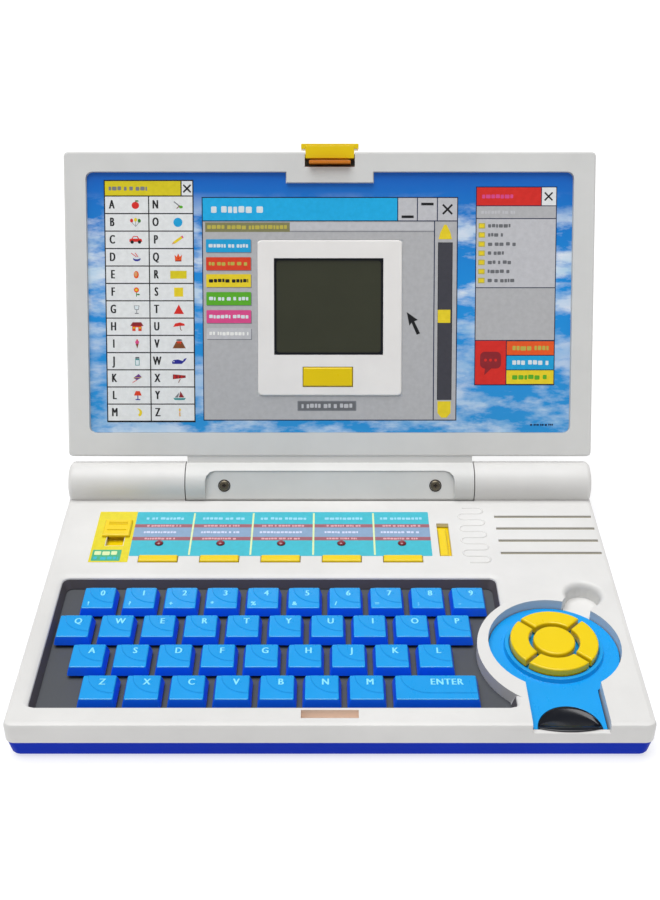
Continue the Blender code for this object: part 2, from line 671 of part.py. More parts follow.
def base_lower_case(root):
    top = SEAM_Z - FIT
    outline = rounded_rectangle((-HALF_WIDTH + FIT, HALF_WIDTH - FIT), (FIT, DEPTH - FIT),
                                CORNER_RADIUS, 4)
    case = prism("base_lower_case", outline, (FOOT_HEIGHT, top), root, draft=LOWER_TAPER)
    round_edges(case, lambda point: point.z < FOOT_HEIGHT + FIT, LOWER_EDGE_RADIUS, 2)
    inner = rounded_rectangle((-HALF_WIDTH + WALL + FIT, HALF_WIDTH - WALL - FIT),
                              (WALL + FIT, DEPTH - WALL - FIT), CORNER_RADIUS - WALL, 1)
    floor_z = FOOT_HEIGHT + FLOOR
    cut(case, prism("lower_hollow", inner, (floor_z, SEAM_Z + HAIR), root, draft=LOWER_TAPER))

    for number, (side, end) in enumerate(((-1, 0), (1, 0), (-1, 1), (1, 1))):
        foot_y = (FOOT_INSET, DEPTH - FOOT_INSET)[end]
        boss_y = (BOSS_INSET_Y, DEPTH - BOSS_INSET_Y)[end]
        foot_centre = (side * (HALF_WIDTH - FOOT_INSET), foot_y, (floor_z - FIT) / 2)
        join(case, cylinder(f"foot_{number}", foot_centre, FOOT_RADIUS, floor_z - FIT, root, sides=20))
        join(case, boss(f"corner_boss_{number}", side * (HALF_WIDTH - BOSS_INSET_X), boss_y,
                        top - FIT, CORNER_BOSS_RADIUS, root))
    for number, (x, y) in enumerate(BOARD_POSTS):
        join(case, boss(f"board_post_{number}", x, y, BOARD_BOTTOM_Z - FIT, BOARD_POST_RADIUS, root))
    join(case, boss("pad_post", PAD_X, PAD_Y, PAD_BOTTOM_Z - FIT, PAD_POST_RADIUS, root))

    bay_x = BATTERY_HALF + BAY_WALL
    join(case, box("bay_walls", (-bay_x, bay_x), (BATTERY_Y[0] - BAY_WALL, BATTERY_Y[1] + BAY_WALL),
                   (floor_z - HAIR, BATTERY_ROOF_Z), root))
    cut(case, box("bay_hollow", (-BATTERY_HALF, BATTERY_HALF), BATTERY_Y,
                  (0, BATTERY_ROOF_Z - BAY_WALL), root))
    smooth(case)
    return finish(case, SHELL_BLUE, 0.35)


def boss(name, x, y, top, radius, root):
    bottom = FOOT_HEIGHT + HAIR
    return cylinder(name, (x, y, (top + bottom) / 2), radius, top - bottom, root, sides=16)


def battery_door(root):
    half_x = BATTERY_HALF - FIT
    y_range = (BATTERY_Y[0] + FIT, BATTERY_Y[1] - FIT)
    door = prism("battery_door", rounded_rectangle((-half_x, half_x), y_range, DOOR_RADIUS, 2),
                 (FOOT_HEIGHT, FOOT_HEIGHT + FLOOR - FIT), root)
    grip_x, grip_y = GRIP_HALF
    grips = []
    for number in range(GRIPS):
        y = BATTERY_Y[1] - GRIP_INSET - number * GRIP_PITCH
        grips.append((f"grip_{number}", (-grip_x, grip_x), (y - grip_y, y + grip_y)))
    cut(door, joined_boxes("door_grips", grips, (0, FOOT_HEIGHT + GRIP_DEPTH), root))
    return finish(door, SHELL_BLUE, 0.35)


def main_board(root):
    board = box("main_board", BOARD_X, BOARD_Y, (BOARD_BOTTOM_Z, BOARD_TOP_Z), root)
    return finish(board, BOARD_GREEN, 0.5)


# ---------------------------------------------------------------- keyboard

def key_places():
    """(name, x, y, half width added to a standard key) of all 37 keys."""
    places = []
    for row, (letters, first_x) in enumerate(KEY_ROWS):
        y = ROW_1_Y - row * ROW_PITCH
        for column, letter in enumerate(letters):
            places.append(("key_" + letter, first_x + column * KEY_PITCH, y, 0.0))
    places.append(("key_enter", ENTER_X, ROW_1_Y - 3 * ROW_PITCH, ENTER_EXTRA_HALF))
    return places


def keyboard(root):
    flange_top = PLATE_BOTTOM_Z - FIT
    meshes = {}
    for name, x, y, extra in key_places():
        if extra not in meshes:
            sections = (
                (KEY_TOP_HALF - KEY_EDGE + extra, KEY_TOP_HALF - KEY_EDGE, KEY_TOP_Z),
                (KEY_TOP_HALF + extra, KEY_TOP_HALF, KEY_TOP_Z - CAP_EDGE),
                (KEY_BASE_HALF + extra, KEY_BASE_HALF, KEY_SKIRT_Z),
                (STEM_HALF, STEM_HALF, KEY_SKIRT_Z),
                (STEM_HALF, STEM_HALF, flange_top),
                (STEM_FLANGE_HALF, STEM_FLANGE_HALF, flange_top),
                (STEM_FLANGE_HALF, STEM_FLANGE_HALF, flange_top - FLANGE),
                (STEM_HALF, STEM_HALF, flange_top - FLANGE),
                (STEM_HALF, STEM_HALF, STEM_END_Z),
            )
            sections = [(hx, hy, z - KEY_TOP_Z) for hx, hy, z in sections]
            meshes[extra] = plug_mesh(name, sections)
        mesh = meshes[extra].copy()
        finish(place(name, mesh, root, (x, y, KEY_TOP_Z)), KEY_BLUE, 0.3)


def keyboard_plate(root):
    x_range = (KEY_WELL_X[0] - PLATE_MARGIN, KEY_WELL_X[1] + PLATE_MARGIN)
    y_range = (KEY_WELL_Y[0] - PLATE_MARGIN, KEY_WELL_Y[1] + PLATE_MARGIN)
    plate = box("keyboard_plate", x_range, y_range, (PLATE_BOTTOM_Z, PLATE_TOP_Z), root)
    hole_half = STEM_HALF + FIT
    holes = [(name, (x - hole_half, x + hole_half), (y - hole_half, y + hole_half))
             for name, x, y, _ in key_places()]
    through = (PLATE_BOTTOM_Z - HAIR, PLATE_TOP_Z + HAIR)
    cut(plate,
        joined_boxes("stem_holes", holes, through, root),
        upright("plate_pad_cut", (PAD_X, PAD_Y), PAD_NEST_RADIUS + HAIR, through, root, sides=64))
    return finish(plate, PLATE_GREY, 0.6)


# ---------------------------------------------------------------- control pad

def pad_housing(root):
    outline = pad_outline(PAD_NEST_RADIUS - PAD_GAP, PAD_TAIL_HALF - 2 * PAD_GAP, WALL + PAD_GAP)
    body = prism("pad_housing", outline, (PAD_BOTTOM_Z, PAD_SURFACE_Z), root)
    disc_bottom = PAD_SURFACE_Z - HAIR
    disc = upright("pad_disc", (PAD_X, PAD_HUB_Y), PAD_DISC_FOOT_RADIUS, (disc_bottom, PAD_DISC_Z),
                   root, sides=48, top_radius=PAD_DISC_RADIUS)
    join(body, disc)
    cut(body,
        upright("pad_button_well", (PAD_X, PAD_HUB_Y), PAD_BUTTON_WELL_RADIUS,
                (PAD_BUTTON_WELL_Z, PAD_BUTTON_WELL_Z + PAD_CUT_HEIGHT), root, sides=48),
        pad_stem_holes(root),
        upright("pad_thumb_cut", (PAD_X, WALL), PAD_THUMB_RADIUS,
                (PAD_THUMB_Z, PAD_THUMB_Z + PAD_CUT_HEIGHT), root, sides=48))
    smooth(body)
    return finish(body, PAD_BLUE, 0.3)


def pad_stem_centres():
    middle = sum(PAD_RING_RADII) / 2
    return [(PAD_X + middle * math.cos(angle), PAD_HUB_Y + middle * math.sin(angle))
            for angle in (math.radians(90 * turn) for turn in range(4))]


def pad_stem_holes(root):
    half = STEM_HALF + FIT
    centres = pad_stem_centres() + [(PAD_X, PAD_HUB_Y)]
    holes = [(f"hole_{number}", (x - half, x + half), (y - half, y + half))
             for number, (x, y) in enumerate(centres)]
    return joined_boxes("pad_stem_holes", holes, (0, TOP_Z), root)


def pad_arc_outline(turn):
    """A quarter of the ring, held back from its neighbours by half a gap on each side."""
    inner, outer = PAD_RING_RADII
    middle = turn * math.pi / 2
    half_gap = PAD_ARC_GAP / 2
    inner_half = math.pi / 4 - math.asin(half_gap / inner)
    outer_half = math.pi / 4 - math.asin(half_gap / outer)
    outline = arc_points((0, 0), outer, middle - outer_half, middle + outer_half, 10)
    return outline + arc_points((0, 0), inner, middle + inner_half, middle - inner_half, 8)


def pad_buttons(root):
    pad_centre = (PAD_X, PAD_HUB_Y, PAD_BUTTON_TOP_Z)
    base = PAD_BUTTON_BASE_Z - PAD_BUTTON_TOP_Z
    stem_end = PAD_STEM_END_Z - PAD_BUTTON_TOP_Z
    names = ("pad_right", "pad_up", "pad_left", "pad_down")
    for turn, name in enumerate(names):
        arc = prism(name, pad_arc_outline(turn), (base, 0), root)
        round_edges(arc, lambda point: point.z > -FIT, PAD_ARC_EDGE, 2)
        arc.location = pad_centre
        x, y = pad_stem_centres()[turn]
        half = STEM_HALF
        stem = box(name + "_stem", (x - half, x + half), (y - half, y + half),
                   (PAD_STEM_END_Z, PAD_BUTTON_TOP_Z - HAIR), root)
        join(arc, stem)
        smooth(arc)
        finish(arc, YELLOW, 0.3)
    profile = ((0, 0), (PAD_CENTRE_RADIUS - PAD_CENTRE_EDGE, 0), (PAD_CENTRE_RADIUS - FIT, -FIT),
               (PAD_CENTRE_RADIUS, -PAD_CENTRE_EDGE), (PAD_CENTRE_RADIUS, base), (STEM_HALF, base),
               (STEM_HALF, stem_end), (0, stem_end))
    finish(turned("pad_centre", profile, root, pad_centre, 32), YELLOW, 0.3)


# ---------------------------------------------------------------- other controls of the case

def select_buttons(root):
    flange_z = SELECT_FLANGE_Z - SELECT_TOP_Z
    sections = (
        (SELECT_HALF_X - CAP_EDGE, SELECT_HALF_Y - CAP_EDGE, 0),
        (SELECT_HALF_X, SELECT_HALF_Y, -CAP_EDGE),
        (SELECT_HALF_X, SELECT_HALF_Y, flange_z),
        (SELECT_HALF_X + FLANGE, SELECT_HALF_Y + FLANGE, flange_z),
        (SELECT_HALF_X + FLANGE, SELECT_HALF_Y + FLANGE, flange_z - FLANGE),
    )
    for number, x in enumerate(SELECT_X, start=1):
        name = f"select_{number}"
        body = place(name, plug_mesh(name, sections), root, (x, SELECT_Y, SELECT_TOP_Z))
        finish(body, YELLOW, 0.3)


def mode_slider(root):
    """A broad cap that rides on the case, with its neck in the slot and a foot below the top."""
    cap_x, cap_y = MODE_CAP_HALF
    neck_half = MODE_SLOT_HALF - FIT
    cap_bottom = TOP_Z + FIT
    foot_top = TOP_Z - WALL - FIT
    cap_top = TOP_Z + MODE_CAP_HEIGHT
    foot_half = neck_half + MODE_FOOT_EXTRA
    sections = (
        (cap_x - MODE_CAP_EDGE, cap_y - MODE_CAP_EDGE, 0),
        (cap_x, cap_y, -MODE_CAP_EDGE),
        (cap_x, cap_y, cap_bottom - cap_top),
        (neck_half, cap_y - MODE_NECK_INSET, cap_bottom - cap_top),
        (neck_half, cap_y - MODE_NECK_INSET, foot_top - cap_top),
        (foot_half, cap_y - HAIR, foot_top - cap_top),
        (foot_half, cap_y - HAIR, foot_top - cap_top - SLIDER_FOOT),
    )
    body = place("mode_slider", plug_mesh("mode_slider", sections), root, (MODE_X, MODE_Y, cap_top))
    join(body, box("mode_shutter", (MODE_X - neck_half - HAIR, MODE_X + neck_half + HAIR),
                   (MODE_Y - MODE_FOOT_REACH, MODE_Y), (foot_top - HAIR, foot_top - FIT / 2), root))
    finish(body, YELLOW, 0.3)


def volume_slider(root):
    """A long knob at the left of its slot, on a wider foot that covers the whole slot."""
    half_x = VOLUME_KNOB_HALF_X
    foot_top = TOP_Z - WALL - FIT
    knob_top = TOP_Z + VOLUME_KNOB_HEIGHT
    sections = (
        (half_x - CAP_EDGE, VOLUME_KNOB_HALF - CAP_EDGE, 0),
        (half_x, VOLUME_KNOB_HALF, -CAP_EDGE),
        (half_x, VOLUME_KNOB_HALF, foot_top - knob_top),
        (VOLUME_FOOT_HALF_X, VOLUME_KNOB_HALF + HAIR, foot_top - knob_top),
        (VOLUME_FOOT_HALF_X, VOLUME_KNOB_HALF + HAIR, foot_top - knob_top - SLIDER_FOOT),
    )
    body = place("volume_slider", plug_mesh("volume_slider", sections), root,
                 (VOLUME_KNOB_X, VOLUME_Y, knob_top))
    half_x = VOLUME_FOOT_HALF_X - FIT
    join(body, box("volume_shutter", (VOLUME_KNOB_X - half_x, VOLUME_KNOB_X + half_x),
                   (VOLUME_Y, VOLUME_Y + VOLUME_FOOT_REACH), (foot_top - HAIR, foot_top - FIT / 2),
                   root))
    finish(body, YELLOW, 0.3)


# ---------------------------------------------------------------- lid

def card_well_outline():
    """The sunk area for the printed card, with a tab at its top middle for the catch."""
    outline = []
    for x, y in rounded_rectangle((-CARD_HALF, CARD_HALF), CARD_Y, CARD_RADIUS):
        outline.append((x, y))
        if len(outline) == 4:
            outline += [(CARD_TAB_HALF, CARD_Y[1]), (CARD_TAB_HALF, CARD_TAB_Y),
                        (-CARD_TAB_HALF, CARD_TAB_Y), (-CARD_TAB_HALF, CARD_Y[1])]
    return outline


def lid_bezel(lid):
    outline = rounded_rectangle((-HALF_WIDTH, HALF_WIDTH), (LID_BOTTOM, LID_TOP), LID_CORNER_RADIUS, 2)
    bezel = prism("lid_bezel", outline, (LID_SEAM - HAIR, LID_FRONT), lid)
    round_edges(bezel, lambda point: point.z > LID_FRONT - FIT, LID_FRONT_EDGE, 1)
    cut(bezel, prism("card_well", card_well_outline(), (CARD_FLOOR, LID_FRONT + HAIR), lid))
    frame = prism("screen_frame",
                  rounded_rectangle((-SCREEN_FRAME_HALF, SCREEN_FRAME_HALF), SCREEN_FRAME_Y,
                                    SCREEN_FRAME_RADIUS),
                  (FIT, SCREEN_FRAME_FRONT), lid)
    round_edges(frame, lambda point: point.z > SCREEN_FRAME_FRONT - FIT, SCREEN_FRAME_EDGE, 1)
    join(bezel, frame)
    inner_x = HALF_WIDTH - WALL
    inner_y = (LID_BOTTOM + WALL, LID_TOP - WALL)
    cut(bezel, box("bezel_hollow", (-inner_x, inner_x), inner_y, (LID_REAR, 0), lid))
    join(bezel, knuckle("knuckle_front", lid))
    cut(bezel, beyond_seam("bezel_seam", lid, -BARREL_RADIUS - HAIR, LID_SEAM + FIT / 2))
    join(bezel, hinge_pin(-1, lid), hinge_pin(1, lid))
    half_x, half_y = CONTRAST_HALF
    contrast_x = (CONTRAST_X - half_x - FIT, CONTRAST_X + half_x + FIT)
    contrast_y = (CONTRAST_Y - half_y - FIT, CONTRAST_Y + half_y + FIT)
    cut(bezel,
        box("screen_window", SCREEN_X, SCREEN_Y, (LID_SEAM, LID_FRONT + HAIR), lid),
        box("contrast_window", contrast_x, contrast_y, (LID_SEAM, LID_FRONT + HAIR), lid),
        catch_notch(lid, "catch_notch_front"),
        knuckle_panel(lid))
    smooth(bezel)
    return finish(bezel, BEZEL_WHITE)


def knuckle(name, lid):
    """The lid's hinge knuckle and its neck, hollow. Each lid half keeps its side of the seam."""
    body = cylinder(name, (0, 0, 0), BARREL_RADIUS, 2 * KNUCKLE_HALF, lid, 'X', 36)
    neck_z = (LID_REAR + NECK_INSET[0], LID_FRONT - NECK_INSET[1])
    neck_half = KNUCKLE_HALF - FIT
    hollow_half = KNUCKLE_HALF - WALL
    join(body, box(name + "_neck", (-neck_half, neck_half), (HAIR, LID_BOTTOM + HAIR), neck_z, lid))
    cut(body, box(name + "_hollow", (-hollow_half, hollow_half),
                  (-KNUCKLE_HOLLOW_HALF_Y, KNUCKLE_HOLLOW_HALF_Y),
                  (-KNUCKLE_HOLLOW_Z, KNUCKLE_HOLLOW_Z), lid))
    return body


def beyond_seam(name, lid, low, high):
    """Everything of a lid half that lies past the seam."""
    reach_x = HALF_WIDTH + HAIR
    return box(name, (-reach_x, reach_x), (-BARREL_RADIUS - HAIR, LID_TOP + HAIR), (low, high), lid)


def knuckle_panel(lid):
    """Flat sunk panel along the knuckle's front, with rounded upper corners."""
    span = BARREL_RADIUS + HAIR
    outline = rounded_rectangle((-KNUCKLE_PANEL_HALF, KNUCKLE_PANEL_HALF), (-span, KNUCKLE_PANEL_TOP),
                                KNUCKLE_PANEL_RADIUS)
    return prism("knuckle_panel", outline, (KNUCKLE_PANEL_Z, span), lid)


def hinge_pin(side, lid):
    length = PIN_LENGTH + HAIR
    centre = (side * (KNUCKLE_HALF - HAIR + length / 2), 0, 0)
    return cylinder(f"hinge_pin_{side}", centre, PIN_RADIUS, length, lid, 'X', 20)


def catch_notch(lid, name):
    half = CATCH_NOTCH_HALF
    return box(name, (-half, half), (CATCH_NOTCH_Y, LID_TOP + HAIR),
               (CATCH_NOTCH_Z, LID_FRONT + HAIR), lid)


def lid_back(lid):
    outline = rounded_rectangle((-HALF_WIDTH, HALF_WIDTH), (LID_BOTTOM, LID_TOP), LID_CORNER_RADIUS, 2)
    back = prism("lid_back", outline, (LID_REAR, LID_SEAM + HAIR), lid)
    round_edges(back, lambda point: point.z < LID_REAR + FIT, LID_REAR_EDGE_RADIUS, 2)
    inner_x = HALF_WIDTH - WALL
    inner_y = (LID_BOTTOM + WALL, LID_TOP - WALL)
    cut(back, box("back_hollow", (-inner_x, inner_x), inner_y, (LID_REAR + FLOOR, 0), lid))
    join(back, knuckle("knuckle_rear", lid))
    cut(back,
        beyond_seam("back_seam", lid, LID_SEAM - FIT / 2, BARREL_RADIUS + HAIR),
        cylinder("pin_relief", (0, 0, 0), PIN_RADIUS + FIT, 2 * (KNUCKLE_HALF + HAIR), lid, 'X', 20),
        catch_notch(lid, "catch_notch_rear"))
    smooth(back)
    return finish(back, WHITE)


def lcd_panel(lid):
    panel = box("lcd_panel", (SCREEN_X[0] + FIT, SCREEN_X[1] - FIT),
                (SCREEN_Y[0] + FIT, SCREEN_Y[1] - FIT), (SCREEN_BACK, SCREEN_FRONT), lid)
    finish(panel, SCREEN_GREY, 0.15)


def contrast_button(lid):
    half_x, half_y = CONTRAST_HALF
    front = SCREEN_FRAME_FRONT + CONTRAST_HEIGHT
    flange_z = -FIT - front
    sections = (
        (half_x - CAP_EDGE, half_y - CAP_EDGE, 0),
        (half_x, half_y, -CAP_EDGE),
        (half_x, half_y, flange_z),
        (half_x + FLANGE, half_y + FLANGE, flange_z),
        (half_x + FLANGE, half_y + FLANGE, flange_z - FLANGE),
    )
    mesh = plug_mesh("contrast_button", sections)
    finish(place("contrast_button", mesh, lid, (CONTRAST_X, CONTRAST_Y, front)), YELLOW, 0.3)


def catch(lid):
    """Sprung catch in the lid's free edge: thumb tab, body and the hook that enters the case."""
    half = CATCH_NOTCH_HALF - FIT
    origin = Vector((0, LID_TOP, 0))
    body = box("catch", (-half, half), CATCH_BODY_Y, CATCH_BODY_Z, lid)
    for vert in body.data.vertices:
        vert.co += body.location - origin
    body.location = origin
    join(body,
         box("catch_tab", (-CATCH_TAB_HALF, CATCH_TAB_HALF), CATCH_TAB_Y, CATCH_TAB_Z, lid),
         box("catch_hook", (-CATCH_HOOK_HALF, CATCH_HOOK_HALF), CATCH_HOOK_Y, CATCH_HOOK_Z, lid),
         box("catch_web", (-CATCH_WEB_HALF, CATCH_WEB_HALF), CATCH_WEB_Y, CATCH_WEB_Z, lid))
    finish(body, YELLOW, 0.3)


# ---------------------------------------------------------------- whole object

def centre_on_origin(root):
    """Stand the object with the middle of its bottom at the origin."""
    bpy.context.view_layer.update()
    graph = bpy.context.evaluated_depsgraph_get()
    ys = []
    for body in parts.objects:
        if body.type == 'MESH':
            shape = body.evaluated_get(graph)
            ys += [(shape.matrix_world @ vert.co).y for vert in shape.data.vertices]
    root.location.y = -(min(ys) + max(ys)) / 2


def main():
    global parts, tools
    parts, tools = start_scene()
    root = empty("case_frame", (0, 0, 0))
    lid = empty("lid_frame", (0, HINGE_Y, HINGE_Z), root)
    lid.rotation_euler.x = math.pi - LID_OPEN_ANGLE

    base_upper_case(root)
    base_lower_case(root)
    battery_door(root)
    main_board(root)
    keyboard_plate(root)
    keyboard(root)
    pad_housing(root)
    pad_buttons(root)
    select_buttons(root)
    mode_slider(root)
    volume_slider(root)
    lid_bezel(lid)
    lid_back(lid)
    lcd_panel(lid)
    contrast_button(lid)
    catch(lid)
    centre_on_origin(root)


main()
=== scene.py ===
"""Looks of the toy laptop computer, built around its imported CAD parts.

The CAD nodes keep their shapes and get moulded-plastic materials and softened edges. The keys are
replaced by detailed caps, and the printed card, the label, the screws and the small trims are
added. Tables are in millimetres: in the case's frame (front face at Y = 0, ground at Z = 0) or in
the lid's (hinge axis at Y = 0, free edge along +Y, screen side +Z).
"""

import json
import math
import random

import bmesh
import bpy
from mathutils import Matrix, Vector


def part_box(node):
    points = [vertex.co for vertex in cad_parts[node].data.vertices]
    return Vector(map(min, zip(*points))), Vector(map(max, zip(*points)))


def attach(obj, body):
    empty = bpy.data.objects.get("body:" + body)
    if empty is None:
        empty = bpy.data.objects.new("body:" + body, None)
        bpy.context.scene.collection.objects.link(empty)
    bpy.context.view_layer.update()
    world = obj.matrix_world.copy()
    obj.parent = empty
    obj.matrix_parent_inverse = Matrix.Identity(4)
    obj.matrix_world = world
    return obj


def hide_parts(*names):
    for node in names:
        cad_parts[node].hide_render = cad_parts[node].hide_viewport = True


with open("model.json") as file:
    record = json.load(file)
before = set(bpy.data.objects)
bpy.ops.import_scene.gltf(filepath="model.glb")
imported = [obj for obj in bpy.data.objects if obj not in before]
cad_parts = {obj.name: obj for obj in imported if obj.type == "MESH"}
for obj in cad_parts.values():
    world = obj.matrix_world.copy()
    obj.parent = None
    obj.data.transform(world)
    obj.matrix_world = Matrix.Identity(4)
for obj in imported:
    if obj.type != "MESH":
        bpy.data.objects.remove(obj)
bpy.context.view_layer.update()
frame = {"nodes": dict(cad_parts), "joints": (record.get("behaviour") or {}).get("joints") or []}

MM = 0.001
INK_LAYER = 0.03  # thickness of one printed layer, in millimetres
INK_LIFT = 0.02   # gap under the lowest printed layer

hinge = next(joint for joint in frame["joints"] if joint["name"] == "lid_hinge")
LID_LEAN = math.radians(61.9)
CASE_FRAME = Matrix.Translation((0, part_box("base_upper_case")[0].y, 0))
LID_FRAME = Matrix.Translation(hinge["pos_m"]) @ Matrix.Rotation(LID_LEAN, 4, "X")

CASE_TOP = 20.0
CARD_LEVEL = 1.5      # lid height of the recessed floor that the card lies on
LID_EDGE = 14.0       # lid Y of the lid's lower edge


# ---------------------------------------------------------------- materials

def srgb(red, green, blue):
    """Linear colour of an 8-bit display colour."""
    channels = []
    for value in (red, green, blue):
        level = value / 255
        channels.append(level / 12.92 if level <= 0.04045 else ((level + 0.055) / 1.055) ** 2.4)
    return (*channels, 1.0)


def shaded(colour, factor):
    return tuple(min(1.0, channel * factor) for channel in colour[:3]) + (1.0,)


class Recipe:
    """A Principled material and short ways to add nodes to it."""

    def __init__(self, name):
        self.material = bpy.data.materials.new(name)
        self.material.use_nodes = True
        self.tree = self.material.node_tree
        self.shader = self.tree.nodes["Principled BSDF"]
        self.coordinates = self.tree.nodes.new("ShaderNodeTexCoord").outputs["Object"]

    def add(self, kind, **settings):
        node = self.tree.nodes.new("ShaderNode" + kind)
        for key, value in settings.items():
            setattr(node, key, value)
        return node

    def link(self, source, target):
        self.tree.links.new(source, target)

    def noise(self, scale, detail=2.0, roughness=0.5, stretch=None):
        """A noise value between 0 and 1, with scale in repeats per metre."""
        vector = self.coordinates
        if stretch:
            mapping = self.add("Mapping")
            mapping.inputs["Scale"].default_value = stretch
            self.link(vector, mapping.inputs["Vector"])
            vector = mapping.outputs["Vector"]
        node = self.add("TexNoise")
        node.inputs["Scale"].default_value = scale
        node.inputs["Detail"].default_value = detail
        node.inputs["Roughness"].default_value = roughness
        self.link(vector, node.inputs["Vector"])
        return node.outputs["Fac"]

    def scaled(self, value, low, high, start=0.3, end=0.7):
        """Maps start..end of a value to low..high."""
        node = self.add("MapRange")
        for key, number in (("From Min", start), ("From Max", end), ("To Min", low), ("To Max", high)):
            node.inputs[key].default_value = number
        self.link(value, node.inputs["Value"])
        return node.outputs["Result"]

    def mixed(self, factor, first, second):
        """Colour between first and second, each a colour or an output."""
        node = self.add("Mix", data_type="RGBA")
        sockets = {s.identifier: s for s in node.inputs}
        self.link(factor, sockets["Factor_Float"])
        for key, value in (("A_Color", first), ("B_Color", second)):
            if isinstance(value, bpy.types.NodeSocket):
                self.link(value, sockets[key])
            else:
                sockets[key].default_value = value
        return {s.identifier: s for s in node.outputs}["Result_Color"]

    def bump(self, height, depth_mm, strength=1.0, base=None):
        node = self.add("Bump")
        node.inputs["Distance"].default_value = depth_mm * MM
        node.inputs["Strength"].default_value = strength
        self.link(height, node.inputs["Height"])
        if base is not None:
            self.link(base, node.inputs["Normal"])
        return node.outputs["Normal"]


def plastic(name, colour, rough=(0.35, 0.5), grain=900.0, grain_depth=0.012, mottle=0.05,
            waviness=0.05, coat=0.0, specular=0.5):
    """Moulded plastic: faint mottling, a fine spark-eroded grain and a slight sink waviness."""
    recipe = Recipe(name)
    cloud = recipe.noise(22.0, detail=4.0, roughness=0.6)
    colour_out = recipe.mixed(recipe.scaled(cloud, 0.0, 1.0),
                              shaded(colour, 1 - mottle), shaded(colour, 1 + mottle))
    recipe.link(colour_out, recipe.shader.inputs["Base Color"])
    scuffs = recipe.noise(160.0, detail=5.0, roughness=0.7, stretch=(1.0, 0.35, 1.0))
    recipe.link(recipe.scaled(scuffs, rough[0], rough[1]), recipe.shader.inputs["Roughness"])
    waves = recipe.bump(recipe.noise(35.0, detail=1.0), waviness, 0.6)
    normal = recipe.bump(recipe.noise(grain, detail=3.0), grain_depth, 0.7, base=waves)
    recipe.link(normal, recipe.shader.inputs["Normal"])
    recipe.shader.inputs["Coat Weight"].default_value = coat
    recipe.shader.inputs["Coat Roughness"].default_value = 0.12
    recipe.shader.inputs["Specular IOR Level"].default_value = specular
    return recipe.material


def printed(name, colour, rough=0.32):
    """Ink on coated card: slightly uneven ink with a faint paper tooth."""
    recipe = Recipe(name)
    ink = recipe.noise(420.0, detail=3.0, roughness=0.65)
    colour_out = recipe.mixed(recipe.scaled(ink, 0.0, 1.0), shaded(colour, 0.94), shaded(colour, 1.05))
    recipe.link(colour_out, recipe.shader.inputs["Base Color"])
    recipe.link(recipe.scaled(ink, rough - 0.04, rough + 0.08), recipe.shader.inputs["Roughness"])
    recipe.link(recipe.bump(recipe.noise(2600.0), 0.004, 0.5), recipe.shader.inputs["Normal"])
    return recipe.material


def sky_print():
    """Printed sky of the card: deep blue above, lighter below, with drifting white clouds."""
    recipe = Recipe("card_sky")
    parts = recipe.add("SeparateXYZ")
    recipe.link(recipe.coordinates, parts.inputs["Vector"])
    height = recipe.scaled(parts.outputs["Y"], 0.0, 1.0, 0.026, 0.160)
    ramp = recipe.add("ValToRGB")
    stops = ramp.color_ramp.elements
    stops[0].position, stops[0].color = 0.0, srgb(40, 150, 220)
    stops[1].position, stops[1].color = 1.0, srgb(14, 98, 200)
    middle = stops.new(0.55)
    middle.color = srgb(22, 146, 228)
    upper = stops.new(0.86)
    upper.color = srgb(16, 122, 210)
    recipe.link(height, ramp.inputs["Fac"])
    drift = recipe.noise(26.0, detail=7.0, roughness=0.62, stretch=(1.0, 2.6, 1.0))
    puffs = recipe.scaled(drift, 0.0, 1.0, 0.44, 0.58)
    band = recipe.add("ValToRGB")
    bands = band.color_ramp.elements
    bands[0].position, bands[0].color = 0.0, (0.75, 0.75, 0.75, 1)
    bands[1].position, bands[1].color = 0.92, (0, 0, 0, 1)
    for position, level in ((0.30, 0.55), (0.62, 0.95), (0.80, 0.80)):
        bands.new(position).color = (level, level, level, 1)
    recipe.link(height, band.inputs["Fac"])
    cover = recipe.add("Math", operation="MULTIPLY", use_clamp=True)
    recipe.link(puffs, cover.inputs[0])
    recipe.link(band.outputs["Color"], cover.inputs[1])
    shading = recipe.noise(60.0, detail=5.0, stretch=(1.0, 1.8, 1.0))
    cloud = recipe.mixed(recipe.scaled(shading, 0.0, 1.0), srgb(186, 220, 244), srgb(250, 252, 255))
    recipe.link(recipe.mixed(cover.outputs[0], ramp.outputs["Color"], cloud),
                recipe.shader.inputs["Base Color"])
    recipe.link(recipe.scaled(recipe.noise(300.0), 0.28, 0.38), recipe.shader.inputs["Roughness"])
    recipe.link(recipe.bump(recipe.noise(2600.0), 0.004, 0.5), recipe.shader.inputs["Normal"])
    return recipe.material


def woven_cloth():
    """Speaker cloth behind the slots."""
    recipe = Recipe("speaker_cloth")
    waves = []
    for axis in ("X", "Y"):
        wave = recipe.add("TexWave", wave_type="BANDS", bands_direction=axis)
        wave.inputs["Scale"].default_value = 700.0
        recipe.link(recipe.coordinates, wave.inputs["Vector"])
        waves.append(wave.outputs["Fac"])
    weave = recipe.add("Math", operation="MAXIMUM")
    recipe.link(waves[0], weave.inputs[0])
    recipe.link(waves[1], weave.inputs[1])
    recipe.link(recipe.mixed(weave.outputs[0], srgb(108, 102, 88), srgb(176, 170, 152)),
                recipe.shader.inputs["Base Color"])
    recipe.shader.inputs["Roughness"].default_value = 0.9
    recipe.link(recipe.bump(weave.outputs[0], 0.08), recipe.shader.inputs["Normal"])
    return recipe.material


